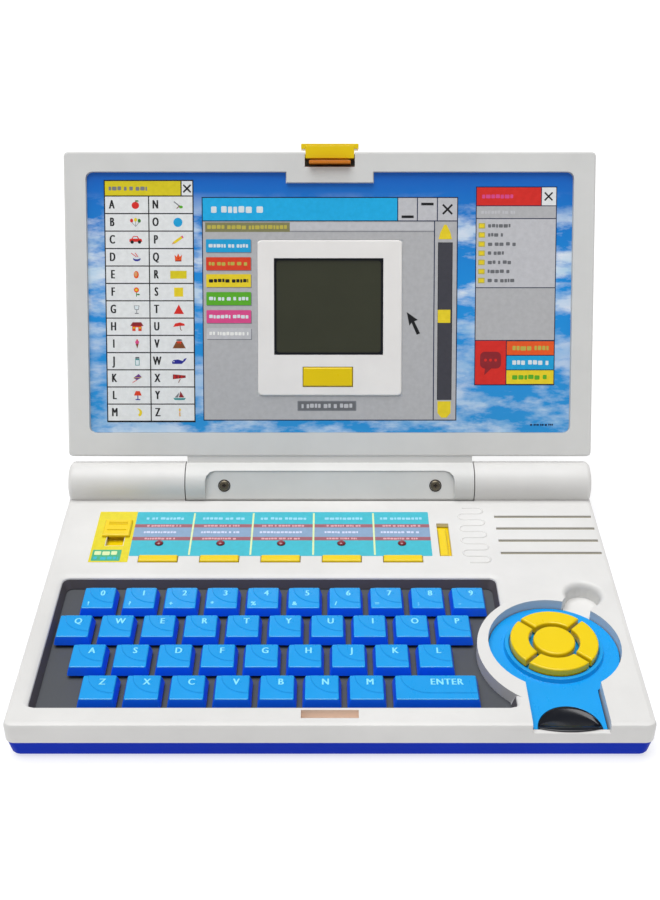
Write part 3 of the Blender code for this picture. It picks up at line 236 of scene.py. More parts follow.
def brushed_metal(name, colour, rough=(0.3, 0.45)):
    recipe = Recipe(name)
    rings = recipe.noise(900.0, detail=3.0, stretch=(1.0, 6.0, 1.0))
    recipe.link(recipe.mixed(recipe.scaled(rings, 0.0, 1.0), shaded(colour, 0.7), shaded(colour, 1.2)),
                recipe.shader.inputs["Base Color"])
    recipe.shader.inputs["Metallic"].default_value = 0.9
    recipe.link(recipe.scaled(rings, rough[0], rough[1]), recipe.shader.inputs["Roughness"])
    recipe.link(recipe.bump(rings, 0.02), recipe.shader.inputs["Normal"])
    return recipe.material


INK_COLOURS = {
    "black": (22, 22, 26),
    "outline": (14, 30, 70),
    "white": (244, 244, 240),
    "cell": (236, 238, 238),
    "chart_yellow": (226, 208, 30),
    "window": (186, 186, 188),
    "window_light": (200, 200, 204),
    "window_dark": (128, 130, 136),
    "title": (24, 178, 236),
    "menu": (134, 132, 92),
    "menu_text": (196, 184, 80),
    "cyan": (26, 166, 222),
    "red": (222, 44, 36),
    "tab_red": (226, 66, 34),
    "yellow": (240, 214, 40),
    "green": (92, 178, 40),
    "pink": (226, 78, 142),
    "slate": (66, 66, 74),
    "grey_text": (110, 112, 116),
    "pale_text": (226, 236, 240),
    "orange": (240, 92, 34),
    "brown": (132, 76, 38),
    "skin": (226, 168, 110),
    "deep_blue": (40, 42, 150),
    "purple": (112, 60, 140),
    "leaf": (60, 132, 50),
    "teal": (60, 150, 150),
    "maroon": (146, 36, 44),
    "label_cyan": (58, 184, 202),
    "label_lilac": (134, 162, 194),
    "label_stripe": (156, 92, 104),
    "label_stripe_text": (226, 168, 176),
    "label_yellow": (228, 212, 30),
    "label_green": (72, 176, 128),
    "label_divider": (222, 236, 178),
    "legend": (140, 228, 255),
    "label_text": (150, 216, 240),
    "label_lilac_text": (206, 214, 240),
}
inks = {}


def ink(name):
    if name not in inks:
        inks[name] = sky_print() if name == "sky" else printed("ink_" + name, srgb(*INK_COLOURS[name]))
    return inks[name]


# ---------------------------------------------------------------- mesh helpers

def finish_piece(name, mesh, matrix, body, smooth_angle=None):
    piece = bpy.data.objects.new(name, mesh)
    bpy.context.scene.collection.objects.link(piece)
    piece.matrix_world = matrix
    if smooth_angle is not None:
        mesh.shade_smooth()
        mesh.set_sharp_from_angle(angle=math.radians(smooth_angle))
    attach(piece, body)
    return piece


def soften(piece, width_mm, segments=2, angle=32):
    """Rounds the edges a little and keeps the flat faces flat."""
    bevel = piece.modifiers.new("edges", "BEVEL")
    bevel.width = width_mm * MM
    bevel.segments = segments
    bevel.limit_method = "ANGLE"
    bevel.angle_limit = math.radians(angle)
    bevel.use_clamp_overlap = True
    normals = piece.modifiers.new("normals", "WEIGHTED_NORMAL")
    normals.keep_sharp = True
    normals.weight = 80


def rounded(x0, y0, x1, y1, radius=0.0, segments=4):
    """Corner points of a rounded rectangle, counter-clockwise."""
    if radius <= 0:
        return [(x0, y0), (x1, y0), (x1, y1), (x0, y1)]
    points = []
    corners = ((x1 - radius, y0 + radius, -90), (x1 - radius, y1 - radius, 0),
               (x0 + radius, y1 - radius, 90), (x0 + radius, y0 + radius, 180))
    for centre_x, centre_y, start in corners:
        for step in range(segments + 1):
            angle = math.radians(start + 90 * step / segments)
            points.append((centre_x + radius * math.cos(angle), centre_y + radius * math.sin(angle)))
    return points


def disc(x, y, radius_x, radius_y=None, sides=24, start=0.0, end=360.0):
    radius_y = radius_y or radius_x
    count = sides if end - start >= 360 else sides + 1
    points = []
    for step in range(count):
        angle = math.radians(start + (end - start) * step / sides)
        points.append((x + radius_x * math.cos(angle), y + radius_y * math.sin(angle)))
    return points


def stroke(points, width):
    """Outline of a polyline drawn with a pen of that width."""
    left, right = [], []
    for index, (x, y) in enumerate(points):
        before = Vector(points[max(index - 1, 0)])
        after = Vector(points[min(index + 1, len(points) - 1)])
        along = (after - before).normalized()
        side = Vector((-along.y, along.x)) * width / 2
        left.append((x + side.x, y + side.y))
        right.append((x - side.x, y - side.y))
    return right + left[::-1]


def prism(bm, points, low, high, material_index=0, inset=0.0):
    """A closed prism over an outline, in millimetres. The inset draws its top in."""
    area = sum(a[0] * b[1] - b[0] * a[1] for a, b in zip(points, points[1:] + points[:1]))
    if area < 0:
        points = points[::-1]
    bottom = [bm.verts.new((x * MM, y * MM, low * MM)) for x, y in points]
    centre_x = sum(x for x, _ in points) / len(points)
    centre_y = sum(y for _, y in points) / len(points)
    top = []
    for x, y in points:
        away = Vector((x - centre_x, y - centre_y))
        shift = away.normalized() * inset if away.length else away
        top.append(bm.verts.new(((x - shift.x) * MM, (y - shift.y) * MM, high * MM)))
    count = len(points)
    faces = [bm.faces.new(top), bm.faces.new(bottom[::-1])]
    for index in range(count):
        following = (index + 1) % count
        faces.append(bm.faces.new((bottom[index], bottom[following], top[following], top[index])))
    for face in faces:
        face.material_index = material_index
    return faces


def loft(bm, rings, material_index=0):
    """Joins closed rings of points (metres) of equal count; the two ends stay open."""
    rows = [[bm.verts.new(point) for point in ring] for ring in rings]
    count = len(rows[0])
    for lower, upper in zip(rows, rows[1:]):
        for index in range(count):
            following = (index + 1) % count
            face = bm.faces.new((lower[index], lower[following], upper[following], upper[index]))
            face.material_index = material_index
    return rows


def to_mesh(bm, name, materials):
    bmesh.ops.recalc_face_normals(bm, faces=bm.faces)
    mesh = bpy.data.meshes.new(name)
    bm.to_mesh(mesh)
    bm.free()
    for material in materials:
        mesh.materials.append(material)
    return mesh


def text_mesh(text, size, thickness, spacing=1.0):
    """Mesh of a line of text centred on the origin, in millimetres."""
    curve = bpy.data.curves.new("glyphs", "FONT")
    curve.body = text
    curve.size = size
    curve.align_x = "CENTER"
    curve.align_y = "CENTER"
    curve.extrude = thickness / 2
    curve.space_character = spacing
    curve.resolution_u = 3
    holder = bpy.data.objects.new("glyphs", curve)
    bpy.context.scene.collection.objects.link(holder)
    bpy.context.view_layer.update()
    mesh = bpy.data.meshes.new_from_object(holder.evaluated_get(bpy.context.evaluated_depsgraph_get()))
    bpy.data.objects.remove(holder)
    bpy.data.curves.remove(curve)
    return mesh


class Print:
    """Thin closed layers of ink laid over each other; each ink is one material slot."""

    def __init__(self, name, level):
        self.name = name
        self.level = level + INK_LIFT
        self.bm = bmesh.new()
        self.inks = []

    def index(self, name):
        if name not in self.inks:
            self.inks.append(name)
        return self.inks.index(name)

    def height(self, layer):
        return self.level + INK_LAYER * layer

    def shape(self, name, points, layer=0):
        prism(self.bm, points, self.height(layer), self.height(layer + 1), self.index(name))

    def area(self, name, x0, y0, x1, y1, layer=0, radius=0.0):
        self.shape(name, rounded(x0, y0, x1, y1, radius), layer)

    def text(self, name, text, x, y, size, layer=1, stretch=1.0):
        mesh = text_mesh(text, size, INK_LAYER)
        place = (Matrix.Translation((x * MM, y * MM, self.height(layer + 0.5) * MM))
                 @ Matrix.Diagonal((stretch * MM, MM, MM, 1)))
        mesh.transform(place)
        first = len(self.bm.faces)
        self.bm.from_mesh(mesh)
        self.bm.faces.ensure_lookup_table()
        number = self.index(name)
        for face in self.bm.faces[first:]:
            face.material_index = number
        bpy.data.meshes.remove(mesh)

    def greeked(self, name, x0, x1, y, height, seed, layer=1):
        """A line of text too small to read: short bars of uneven width."""
        draw = random.Random(seed)
        x = x0
        while x < x1:
            width = draw.uniform(0.5, 1.3) * height
            end = min(x + width, x1)
            if end - x > 0.25 * height:
                rise = draw.uniform(-0.08, 0.08) * height
                self.area(name, x, y - height / 2 + rise, end, y + height / 2 + rise, layer,
                          radius=0.2 * min(height, end - x))
            x = end + draw.choice((0.22, 0.22, 0.22, 0.75)) * height

    def cross(self, name, x, y, half, width, layer):
        for side in (-1, 1):
            self.shape(name, stroke([(x - half, y - side * half), (x + half, y + side * half)], width),
                       layer + (side + 1) / 4)

    def done(self, matrix, body):
        mesh = to_mesh(self.bm, self.name, [ink(name) for name in self.inks])
        return finish_piece(self.name, mesh, matrix, body)


# ---------------------------------------------------------------- CAD nodes

WHITE = plastic("white_abs", srgb(222, 221, 219), rough=(0.38, 0.52))
# The bezel is the case's white plastic made a touch darker, as painted shade on the lid's face.
BEZEL_PAINTED_SHADE = plastic("bezel_painted_shade_abs", srgb(219, 219, 217), rough=(0.38, 0.52))
SCREEN_FRAME = plastic("screen_frame_abs", srgb(242, 239, 236), rough=(0.34, 0.46))
SHELL_BLUE = plastic("shell_blue_abs", srgb(2, 44, 180), rough=(0.4, 0.52), mottle=0.06, specular=0.05)
PAD_BLUE = plastic("pad_blue_abs", srgb(6, 158, 234), rough=(0.24, 0.36), grain=700.0,
                   grain_depth=0.006, coat=0.3)
# The keys are one blue plastic: the lighter top is painted light and the deeper blue of the sides is painted
# shade.
KEY_TOP_PAINTED_LIGHT = plastic("key_top_painted_light_abs", srgb(10, 156, 232), rough=(0.24, 0.36), grain=800.0,
                  grain_depth=0.006, coat=0.25)
KEY_SIDE_PAINTED_SHADE = plastic("key_side_painted_shade_abs", srgb(6, 98, 250), rough=(0.3, 0.42), grain=800.0,
                   grain_depth=0.006, coat=0.1, specular=0.3)
YELLOW = plastic("yellow_abs", srgb(238, 206, 2), rough=(0.26, 0.38), grain=700.0,
                 grain_depth=0.006, coat=0.2, mottle=0.03, specular=0.35)
PLATE = plastic("plate_grey_abs", srgb(74, 77, 82), rough=(0.5, 0.68), grain=600.0,
                grain_depth=0.02)
RUBBER = plastic("foot_rubber", srgb(40, 40, 44), rough=(0.7, 0.85), grain=1400.0, grain_depth=0.03)
BOARD = plastic("board_lacquer", srgb(20, 98, 56), rough=(0.25, 0.5), grain=300.0, grain_depth=0.03)
SCREEN = plastic("screen_glass", srgb(54, 56, 40), rough=(0.16, 0.24), grain=2400.0,
                 grain_depth=0.002, waviness=0.02, mottle=0.08, coat=0.5)
BLACK = plastic("black_gloss", srgb(10, 14, 24), rough=(0.12, 0.22), grain_depth=0.002, coat=0.25,
                specular=0.35)
# Dark brown-grey painted into gaps and recesses (lamp rings, screw seat ring, cross recess): painted shade.
GAP_PAINTED_SHADE = plastic("gap_painted_shade", srgb(52, 44, 40), rough=(0.6, 0.8))
SCREW_STEEL = brushed_metal("screw_steel", srgb(120, 112, 96))
# Amber painted on the yellow catch's hook and web: painted shade in its housing.
HOOK_PAINTED_SHADE = plastic("hook_painted_shade_abs", srgb(214, 122, 22), rough=(0.3, 0.42), grain_depth=0.006)
CLOTH = woven_cloth()
# Dark grey painted on the white case's keyboard-well walls: painted shade.
WELL_SHADE = plastic("well_wall_painted_shade", srgb(88, 84, 88), rough=(0.5, 0.68), grain=600.0, grain_depth=0.02)
# Tan painted on the white case's catch-slot walls: painted shade.
SLOT_SHADE = plastic("slot_wall_painted_shade", srgb(240, 222, 208), rough=(0.5, 0.6))


def dress(node, material, width_mm=0.25, extras=()):
    """Gives a CAD node its material and soft edges. extras are (material, test) pairs: faces whose
    middle passes the test get that material instead."""
    piece = frame["nodes"][node]
    mesh = piece.data
    custom = mesh.attributes.get("custom_normal")
    if custom:
        mesh.attributes.remove(custom)
    mesh.materials.clear()
    mesh.materials.append(material)
    mesh.shade_smooth()
    for number, (extra, test) in enumerate(extras, start=1):
        mesh.materials.append(extra)
        for polygon in mesh.polygons:
            if test(polygon.center):
                polygon.material_index = number
    weld = piece.modifiers.new("weld", "WELD")
    weld.merge_threshold = 0.000002
    flat = piece.modifiers.new("flat", "DECIMATE")
    flat.decimate_type = "DISSOLVE"
    flat.angle_limit = math.radians(0.6)
    flat.delimit = {"MATERIAL"}
    if width_mm:
        soften(piece, width_mm)


def in_lid(point):
    """Lid coordinates of a world point, in millimetres."""
    return (LID_FRAME.inverted() @ point) / MM


SCREEN_FRAME_X = (-38.0, 37.0)
SCREEN_FRAME_Y = (44.8, 125.4)


def on_screen_frame(point):
    x, y, z = in_lid(point)
    inside = SCREEN_FRAME_X[0] < x < SCREEN_FRAME_X[1] and SCREEN_FRAME_Y[0] < y < SCREEN_FRAME_Y[1]
    return inside and z > CARD_LEVEL + 0.1


CATCH_HOOK_Y = 165.0    # the catch's hook and web lie below this lid Y, in its housing's shade


def on_hook(point):
    return in_lid(point).y < CATCH_HOOK_Y


def on_foot(point):
    return point.z < 1.1 * MM


# Inner walls of the keyboard well and of the catch slot, in case coordinates
WELL_WALLS = ((-127.5, 79.7), (10.0, 97.6), (14.0, 18.3))
WELL_BULGE = (102.3, 46.8, 37.9)      # middle and radius of the pad's wall, which stays white
CATCH_SLOT = ((-12.2, 12.2), (4.1, 9.1), (15.3, 19.6))


def in_case(point):
    """Case coordinates of a world point, in millimetres."""
    return (CASE_FRAME.inverted() @ point) / MM


def within(point, ranges):
    return all(low < value < high for value, (low, high) in zip(point, ranges))


def on_well_wall(point):
    x, y, z = in_case(point)
    middle_x, middle_y, radius = WELL_BULGE
    return within((x, y, z), WELL_WALLS) and math.hypot(x - middle_x, y - middle_y) > radius


def in_catch_slot(point):
    return within(in_case(point), CATCH_SLOT)


# the well's walls and the catch slot's walls are painted shade on the white case
dress("base_upper_case", WHITE, extras=((WELL_SHADE, on_well_wall), (SLOT_SHADE, in_catch_slot)))
dress("base_lower_case", SHELL_BLUE, extras=((RUBBER, on_foot),))
dress("battery_door", SHELL_BLUE)
dress("main_board", BOARD, 0.1)
dress("keyboard_plate", PLATE, 0.1)
dress("pad_housing", PAD_BLUE)
dress("lid_bezel", BEZEL_PAINTED_SHADE, extras=((SCREEN_FRAME, on_screen_frame),))
dress("lid_back", WHITE)
dress("lcd_panel", SCREEN, 0.2)
# the hook's faces get the amber painted shade
dress("catch", YELLOW, 0.3, extras=((HOOK_PAINTED_SHADE, on_hook),))
for name in ("contrast_button", "mode_slider", "volume_slider",
             "pad_centre", "pad_up", "pad_right", "pad_down", "pad_left",
             "select_1", "select_2", "select_3", "select_4", "select_5"):
    dress(name, YELLOW, 0.3)


# ---------------------------------------------------------------- keycaps

KEY_TOP_HALF = 7.2
KEY_BASE_HALF = 8.3
KEY_HEIGHT = 4.6
KEY_CORNER = 0.6
KEY_ARC = (12.8, 11.4)  # half axes of the arc round the cap's back right corner
KEY_STEP = 0.4          # how far the front part of the top lies below the part behind the arc
KEY_STEP_WIDTH = 0.42
KEY_RIM = ((0.75, 0.0), (0.36, 0.14), (0.12, 0.38), (0.0, 0.8))  # (inset, drop) of the rounded rim
KEY_ARC_STEPS = 14
LEGEND_SPACING = 1.15
LEGEND_THICKNESS = 0.05
LEGEND_BOLDNESS = 0.16
KEY_LEGEND = (1.5, 2.7, 5.2, 0.82)       # x, y, size and stretch of a letter or digit
LONG_KEY_LEGEND = (4.5, 2.7, 5.2, 0.82)
KEY_MARK = (-4.3, -4.2, 3.9, 0.9)        # the small sign in the front corner
BOLD_SHIFTS = (-1.0, 0.0, 1.0)  # a bold letter is printed three times, side by side


def cap_ring(half_x, half_y, radius, marks):
    """Ring of a keycap section from the arc's start on the back edge round to the start again.

    marks are the two break points on the back edge (x) and the two on the right edge (y), given as
    shares of the half sizes so that every section has matching points.
    """
    back_near, back_far, right_low, right_high = marks
    points = [(half_x * back_near, half_y)]
    for centre_x, centre_y, start in ((-half_x + radius, half_y - radius, 90),
                                      (-half_x + radius, -half_y + radius, 180),
                                      (half_x - radius, -half_y + radius, 270)):
        for step in range(5):
            angle = math.radians(start + 90 * step / 4)
            points.append((centre_x + radius * math.cos(angle), centre_y + radius * math.sin(angle)))
    points.append((half_x, half_y * right_low))
    split = len(points)
    points.append((half_x, half_y * right_high))
    for step in range(5):
        angle = math.radians(90 * step / 4)
        points.append((half_x - radius + radius * math.cos(angle),
                       half_y - radius + radius * math.sin(angle)))
    points.append((half_x * back_far, half_y))
    return points, split


def keycap(node, legend, mark=None):
    low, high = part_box(node)
    centre = Vector(((low.x + high.x) / 2, (low.y + high.y) / 2, high.z))
    extra = (high.x - low.x) / 2 / MM - KEY_BASE_HALF
    half_x, half_y = KEY_TOP_HALF + extra, KEY_TOP_HALF
    inset = KEY_RIM[0][0]
    flat_x, flat_y = half_x - inset, half_y - inset
    arc_x, arc_y = KEY_ARC
    start_x = KEY_TOP_HALF * 2 - arc_x - half_x
    end_y = half_y - arc_y
    marks = (start_x / half_x, (start_x + KEY_STEP_WIDTH) / half_x,
             end_y / half_y, (end_y + KEY_STEP_WIDTH) / half_y)
    bm = bmesh.new()
    sections = []
    for rim_inset, drop in KEY_RIM:
        ring, split = cap_ring(half_x - rim_inset, half_y - rim_inset, KEY_CORNER, marks)
        sections.append((ring, -drop))
    flare = KEY_BASE_HALF - KEY_TOP_HALF
    for spread, depth in ((flare / 2, -KEY_HEIGHT / 2), (flare, -KEY_HEIGHT)):
        ring, _ = cap_ring(half_x + spread, half_y + spread, KEY_CORNER + spread * 0.3, marks)
        sections.append((ring, depth))
    rings = []
    for number, (ring, depth) in enumerate(sections):
        sink = KEY_STEP * max(0.0, 1 - number / 3)
        rings.append([Vector((x, y, depth - (sink if index < split else 0.0))) * MM
                      for index, (x, y) in enumerate(ring)])
    # the sides take the deeper blue, painted shade
    rows = loft(bm, rings[::-1], 1)
    rim = rows[-1]
    bm.faces.new(rows[0][::-1]).material_index = 1
    # the arc swoops from the back edge to the right edge, straight on a long key
    arcs = []
    corner_x = min(start_x + arc_x, flat_x)
    for sink, first, last in ((KEY_STEP, rim[0], rim[split - 1]), (0.0, rim[-1], rim[split])):
        arc = [first]
        for step in range(1, KEY_ARC_STEPS):
            angle = math.radians(180 + 90 * step / KEY_ARC_STEPS)
            x = corner_x + (first.co.x / MM - corner_x) * -math.cos(angle)
            y = flat_y + (flat_y - last.co.y / MM) * math.sin(angle)
            arc.append(bm.verts.new((x * MM, y * MM, -sink * MM)))
        if extra > 1:
            arc.append(bm.verts.new((corner_x * MM, last.co.y, -sink * MM)))
        arc.append(last)
        arcs.append(arc)
    front_arc, back_arc = arcs
    tops = [bm.faces.new(rim[0:split] + front_arc[-2:0:-1]),
            bm.faces.new(rim[split:] + back_arc[1:-1])]
    for index in range(len(front_arc) - 1):
        tops.append(bm.faces.new((front_arc[index], front_arc[index + 1],
                                  back_arc[index + 1], back_arc[index])))
    for face in tops:
        face.material_index = 0
    # the top's rounded rim takes the lighter blue too, painted light
    for face in bm.faces:
        if face.calc_center_median().z > -0.9 * MM:
            face.material_index = 0
    x, y, size, stretch = LONG_KEY_LEGEND if extra > 1 else KEY_LEGEND
    labels = [(legend, x, y, 0.0, size, stretch)]
    if mark:
        x, y, size, stretch = KEY_MARK
        labels.append((mark, x, y, -KEY_STEP, size, stretch))
    for text, x, y, level, size, stretch in labels:
        for number, shift in enumerate(BOLD_SHIFTS):
            mesh = text_mesh(text, size, LEGEND_THICKNESS, LEGEND_SPACING)
            height = level + INK_LIFT + 0.01 * number
            place = Vector((x + LEGEND_BOLDNESS * shift, y, height))
            mesh.transform(Matrix.Translation(place * MM)
                           @ Matrix.Diagonal((stretch * MM, MM, MM, 1)))
            known = len(bm.faces)
            bm.from_mesh(mesh)
            bm.faces.ensure_lookup_table()
            for face in bm.faces[known:]:
                face.material_index = 2
            bpy.data.meshes.remove(mesh)
    name = node.replace("key_", "keycap_")
    cap = finish_piece(name, to_mesh(bm, name, [KEY_TOP_PAINTED_LIGHT, KEY_SIDE_PAINTED_SHADE, ink("legend")]),
                       Matrix.Translation(centre), node, smooth_angle=35)
    normals = cap.modifiers.new("normals", "WEIGHTED_NORMAL")
    normals.keep_sharp = True
    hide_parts(node)


DIGIT_MARKS = dict(zip("0123456789", "!?+*%&/=:-"))
for node in [name for name in frame["nodes"] if name.startswith("key_")]:
    symbol = node[4:]
    keycap(node, "ENTER" if symbol == "enter" else symbol.upper(), DIGIT_MARKS.get(symbol))


# ---------------------------------------------------------------- printed card on the lid

CARD = (-123.7, 26.3, 123.7, 158.8)
CARD_RADIUS = 3.2
CARD_TAB = (22.4, 153.4)      # half width and lower edge of the notch for the catch
CARD_THICKNESS = 0.25
SCREEN_FRAME_BOX = (-37.2, 45.2, 37.2, 124.9)


def sheet_with_hole(bm, outer, hole, low, high, material_index=0):
    """A closed plate with one opening."""
    loops = []
    for outline in (outer, hole):
        verts = [bm.verts.new((x * MM, y * MM, low * MM)) for x, y in outline]
        loops += [bm.edges.new((a, b)) for a, b in zip(verts, verts[1:] + verts[:1])]
    filled = bmesh.ops.triangle_fill(bm, use_beauty=True, edges=loops)
    flat = [item for item in filled["geom"] if isinstance(item, bmesh.types.BMFace)]
    raised = bmesh.ops.extrude_face_region(bm, geom=flat, use_keep_orig=True)
    for item in raised["geom"]:
        if isinstance(item, bmesh.types.BMVert):
            item.co.z = high * MM
    for face in bm.faces:
        face.material_index = material_index


def sky_card():
    x0, y0, x1, y1 = CARD
    tab_half, tab_y = CARD_TAB
    outline = rounded(x0, y0, x1, y1, CARD_RADIUS)
    corner = next(i for i, (x, _) in enumerate(outline) if x < 0)
    notch = [(tab_half, y1), (tab_half, tab_y), (-tab_half, tab_y), (-tab_half, y1)]
    bm = bmesh.new()
    sheet_with_hole(bm, outline[:corner] + notch + outline[corner:], rounded(*SCREEN_FRAME_BOX),
                    CARD_LEVEL + INK_LIFT, CARD_LEVEL + CARD_THICKNESS)
    mesh = to_mesh(bm, "lid_card", [ink("sky")])
    finish_piece("lid_card", mesh, LID_FRAME, "lid")


def lid_print(name):
    return Print(name, CARD_LEVEL + CARD_THICKNESS)


def heights(low, high):
    """Lid Y range of a range measured up from the lid's lower edge."""
    return low + LID_EDGE, high + LID_EDGE


# Small pictures of the alphabet chart, in millimetres round the middle of their cell
PICTURES = {
    "A": (("disc", "red", (0, -0.3, 1.9, 1.8)), ("line", "brown", ((0, 1.2), (0.3, 2.3)), 0.35),
          ("disc", "leaf", (0.9, 1.9, 0.8, 0.35))),
    "B": (("disc", "red", (-2.0, 0.9, 0.8, 0.95)), ("disc", "yellow", (0, 1.3, 0.8, 0.95)),
          ("disc", "leaf", (1.9, 0.8, 0.8, 0.95)), ("line", "grey_text", ((-1.9, 0), (0, -2.1)), 0.16),
          ("line", "grey_text", ((0, 0.4), (0, -2.1)), 0.16),
          ("line", "grey_text", ((1.8, 0), (0, -2.1)), 0.16)),
    "C": (("poly", "red", ((-3.3, -1.0), (3.3, -1.0), (3.0, 0.4), (1.7, 0.6), (0.9, 1.9),
                           (-1.2, 1.9), (-2.2, 0.6), (-3.2, 0.3))),
          ("poly", "pale_text", ((-1.6, 0.6), (1.1, 0.6), (0.6, 1.5), (-1.0, 1.5))),
          ("disc", "black", (-1.9, -1.1, 0.85)), ("disc", "black", (1.9, -1.1, 0.85))),
    "D": (("disc", "deep_blue", (0.4, -0.8, 1.9, 1.2)), ("disc", "pale_text", (0.4, -0.3, 1.7, 0.7)),
          ("line", "red", ((-2.4, 2.1), (0.2, 0.2)), 0.35),
          ("line", "red", ((-0.4, 2.2), (1.0, 0.2)), 0.35)),
    "E": (("disc", "orange", (0, 0, 1.3, 1.9)), ("disc", "skin", (-0.2, 0.3, 0.8, 1.2))),
    "F": (("line", "leaf", ((0, -2.3), (0, 0.8)), 0.4), ("disc", "orange", (0, 1.1, 1.3)),
          ("disc", "yellow", (0, 1.1, 0.6)), ("disc", "leaf", (0.9, -1.2, 0.8, 0.35))),
    "G": (("poly", "window_dark", ((-1.4, 2.0), (-1.0, -0.2), (1.0, -0.2), (1.4, 2.0))),
          ("poly", "pale_text", ((-1.1, 1.8), (-0.8, 0.1), (0.8, 0.1), (1.1, 1.8))),
          ("line", "window_dark", ((0, -0.2), (0, -1.9)), 0.3), ("box", "window_dark", (-1, -2.2, 1, -1.8))),
    "H": (("box", "tab_red", (-2.4, -2.2, 2.4, 0.5)),
          ("poly", "maroon", ((-3.4, 0.4), (3.4, 0.4), (2.2, 2.3), (-2.2, 2.3))),
          ("box", "cell", (-0.7, -2.2, 0.7, -0.3)), ("box", "yellow", (-2.0, -1.0, -1.1, -0.2)),
          ("box", "yellow", (1.1, -1.0, 2.0, -0.2))),
    "I": (("poly", "brown", ((0, -2.3), (0.8, 0.2), (-0.8, 0.2))), ("disc", "pink", (0, 0.9, 1.0, 0.9)),
          ("disc", "red", (0, 2.0, 0.4))),
    "J": (("box", "teal", (-1.1, -2.2, 1.1, 1.3)), ("box", "pale_text", (-0.8, -1.9, 0.8, 0.6)),
          ("box", "grey_text", (-1.0, 1.4, 1.0, 2.2))),
    "K": (("poly", "purple", ((-2.2, 0.2), (0.6, 2.3), (2.2, 0.6), (-0.4, -0.9))),
          ("line", "red", ((-0.4, -0.9), (-1.6, -1.5), (-2.6, -2.2)), 0.3),
          ("line", "yellow", ((-2.2, 0.2), (2.2, 0.6)), 0.2)),
    "L": (("poly", "tab_red", ((-2.0, 0), (2.0, 0), (1.0, 2.3), (-1.0, 2.3))),
          ("line", "deep_blue", ((0, 0), (0, -1.8)), 0.5), ("box", "deep_blue", (-1.2, -2.3, 1.2, -1.8))),
    "M": (("moon", "yellow", (0, 0, 2.1)),),
    "N": (("line", "grey_text", ((-2.0, 1.6), (1.2, -0.8)), 0.5), ("disc", "green", (1.6, -1.1, 1.0, 0.7)),
          ("line", "brown", ((-0.6, -1.9), (0.9, -0.6)), 0.4)),
    "O": (("disc", "cyan", (0, 0, 2.3)),),
    "P": (("line", "yellow", ((-2.0, -1.4), (1.9, 1.3)), 1.3),
          ("poly", "skin", ((-2.4, -0.9), (-1.6, -1.9), (-3.2, -2.2))),
          ("line", "pink", ((1.9, 1.3), (2.5, 1.7)), 1.3)),
    "Q": (("poly", "orange", ((-1.6, -1.6), (1.6, -1.6), (1.9, 1.3), (0.8, 0.2), (0, 1.9),
                              (-0.8, 0.2), (-1.9, 1.3))),
          ("box", "maroon", (-1.6, -2.1, 1.6, -1.6)), ("disc", "red", (0, -0.6, 0.4))),
    "R": (("box", "chart_yellow", (-4.2, -2.0, 4.2, 2.0)),),
    "S": (("box", "yellow", (-2.3, -2.3, 2.3, 2.3)),),
    "T": (("poly", "red", ((-2.6, -2.3), (2.6, -2.3), (0, 2.5))),),
    "U": (("poly", "red", ((-3.0, -0.1), (-1.9, 1.7), (0.6, 2.2), (2.8, 1.5), (3.0, 0.6), (0.4, 0.4))),
          ("line", "brown", ((0.5, 0.6), (0.9, -1.6), (1.6, -1.8)), 0.35)),
    "V": (("poly", "brown", ((-3.4, -2.2), (3.4, -2.2), (1.4, 1.4), (-1.4, 1.4))),
          ("poly", "tab_red", ((-1.4, 1.4), (-0.5, 0.0), (0.1, 0.8), (0.7, -0.3), (1.4, 1.4))),
          ("disc", "grey_text", (0, 2.0, 1.5, 0.5))),
    "W": (("poly", "deep_blue", ((-3.6, -1.4), (1.2, -1.4), (3.0, 0.2), (3.9, 1.7), (2.5, 1.2), (1.8, 0.1),
                                 (-0.6, 0.9), (-3.0, 0.6), (-3.8, -0.4))),
          ("disc", "cell", (-2.8, -0.2, 0.3))),
    "X": (("poly", "maroon", ((-3.4, 2.1), (3.2, 1.5), (3.2, 0.3), (-3.4, -0.4))),
          ("line", "red", ((-2.4, 1.9), (-2.4, -0.2)), 0.5),
          ("line", "red", ((-0.6, 1.7), (-0.6, 0.0)), 0.5),
          ("line", "red", ((1.2, 1.5), (1.2, 0.2)), 0.5),
          ("line", "brown", ((0.4, -0.4), (-0.6, -2.2)), 0.35)),
    "Y": (("poly", "maroon", ((-0.4, -1.0), (2.4, -1.0), (0.4, 2.2))),
          ("poly", "window_dark", ((-2.6, -1.0), (-0.8, -1.0), (-0.2, 1.6))),
          ("poly", "teal", ((-3.2, -1.3), (3.2, -1.3), (2.4, -2.3), (-2.6, -2.3)))),
    "Z": (("line", "orange", ((0, 2.2), (0, -2.0)), 0.35), ("box", "yellow", (-0.5, 1.0, 0.5, 1.9)),
          ("line", "yellow", ((-0.5, -0.4), (0.5, -0.7)), 0.3),
          ("line", "yellow", ((-0.5, -1.2), (0.5, -1.5)), 0.3)),
}


def picture(sheet, letter, x, y, layer):
    for number, (kind, name, form, *more) in enumerate(PICTURES[letter]):
        if kind == "disc":
            points = disc(*form)
        elif kind == "box":
            points = rounded(*form)
        elif kind == "moon":
            mid_x, mid_y, radius = form
            outer = disc(mid_x, mid_y, radius, sides=20, start=-70, end=110)
            inner = disc(mid_x - radius * 0.45, mid_y + radius * 0.15, radius * 0.8, sides=16,
                         start=-58, end=95)
            points = outer + inner[::-1]
        elif kind == "line":
            points = stroke([Vector(point) for point in form], more[0])
        else:
            points = list(form)
        sheet.shape(name, [(x + px, y + py) for px, py in points], layer + number * 0.5)


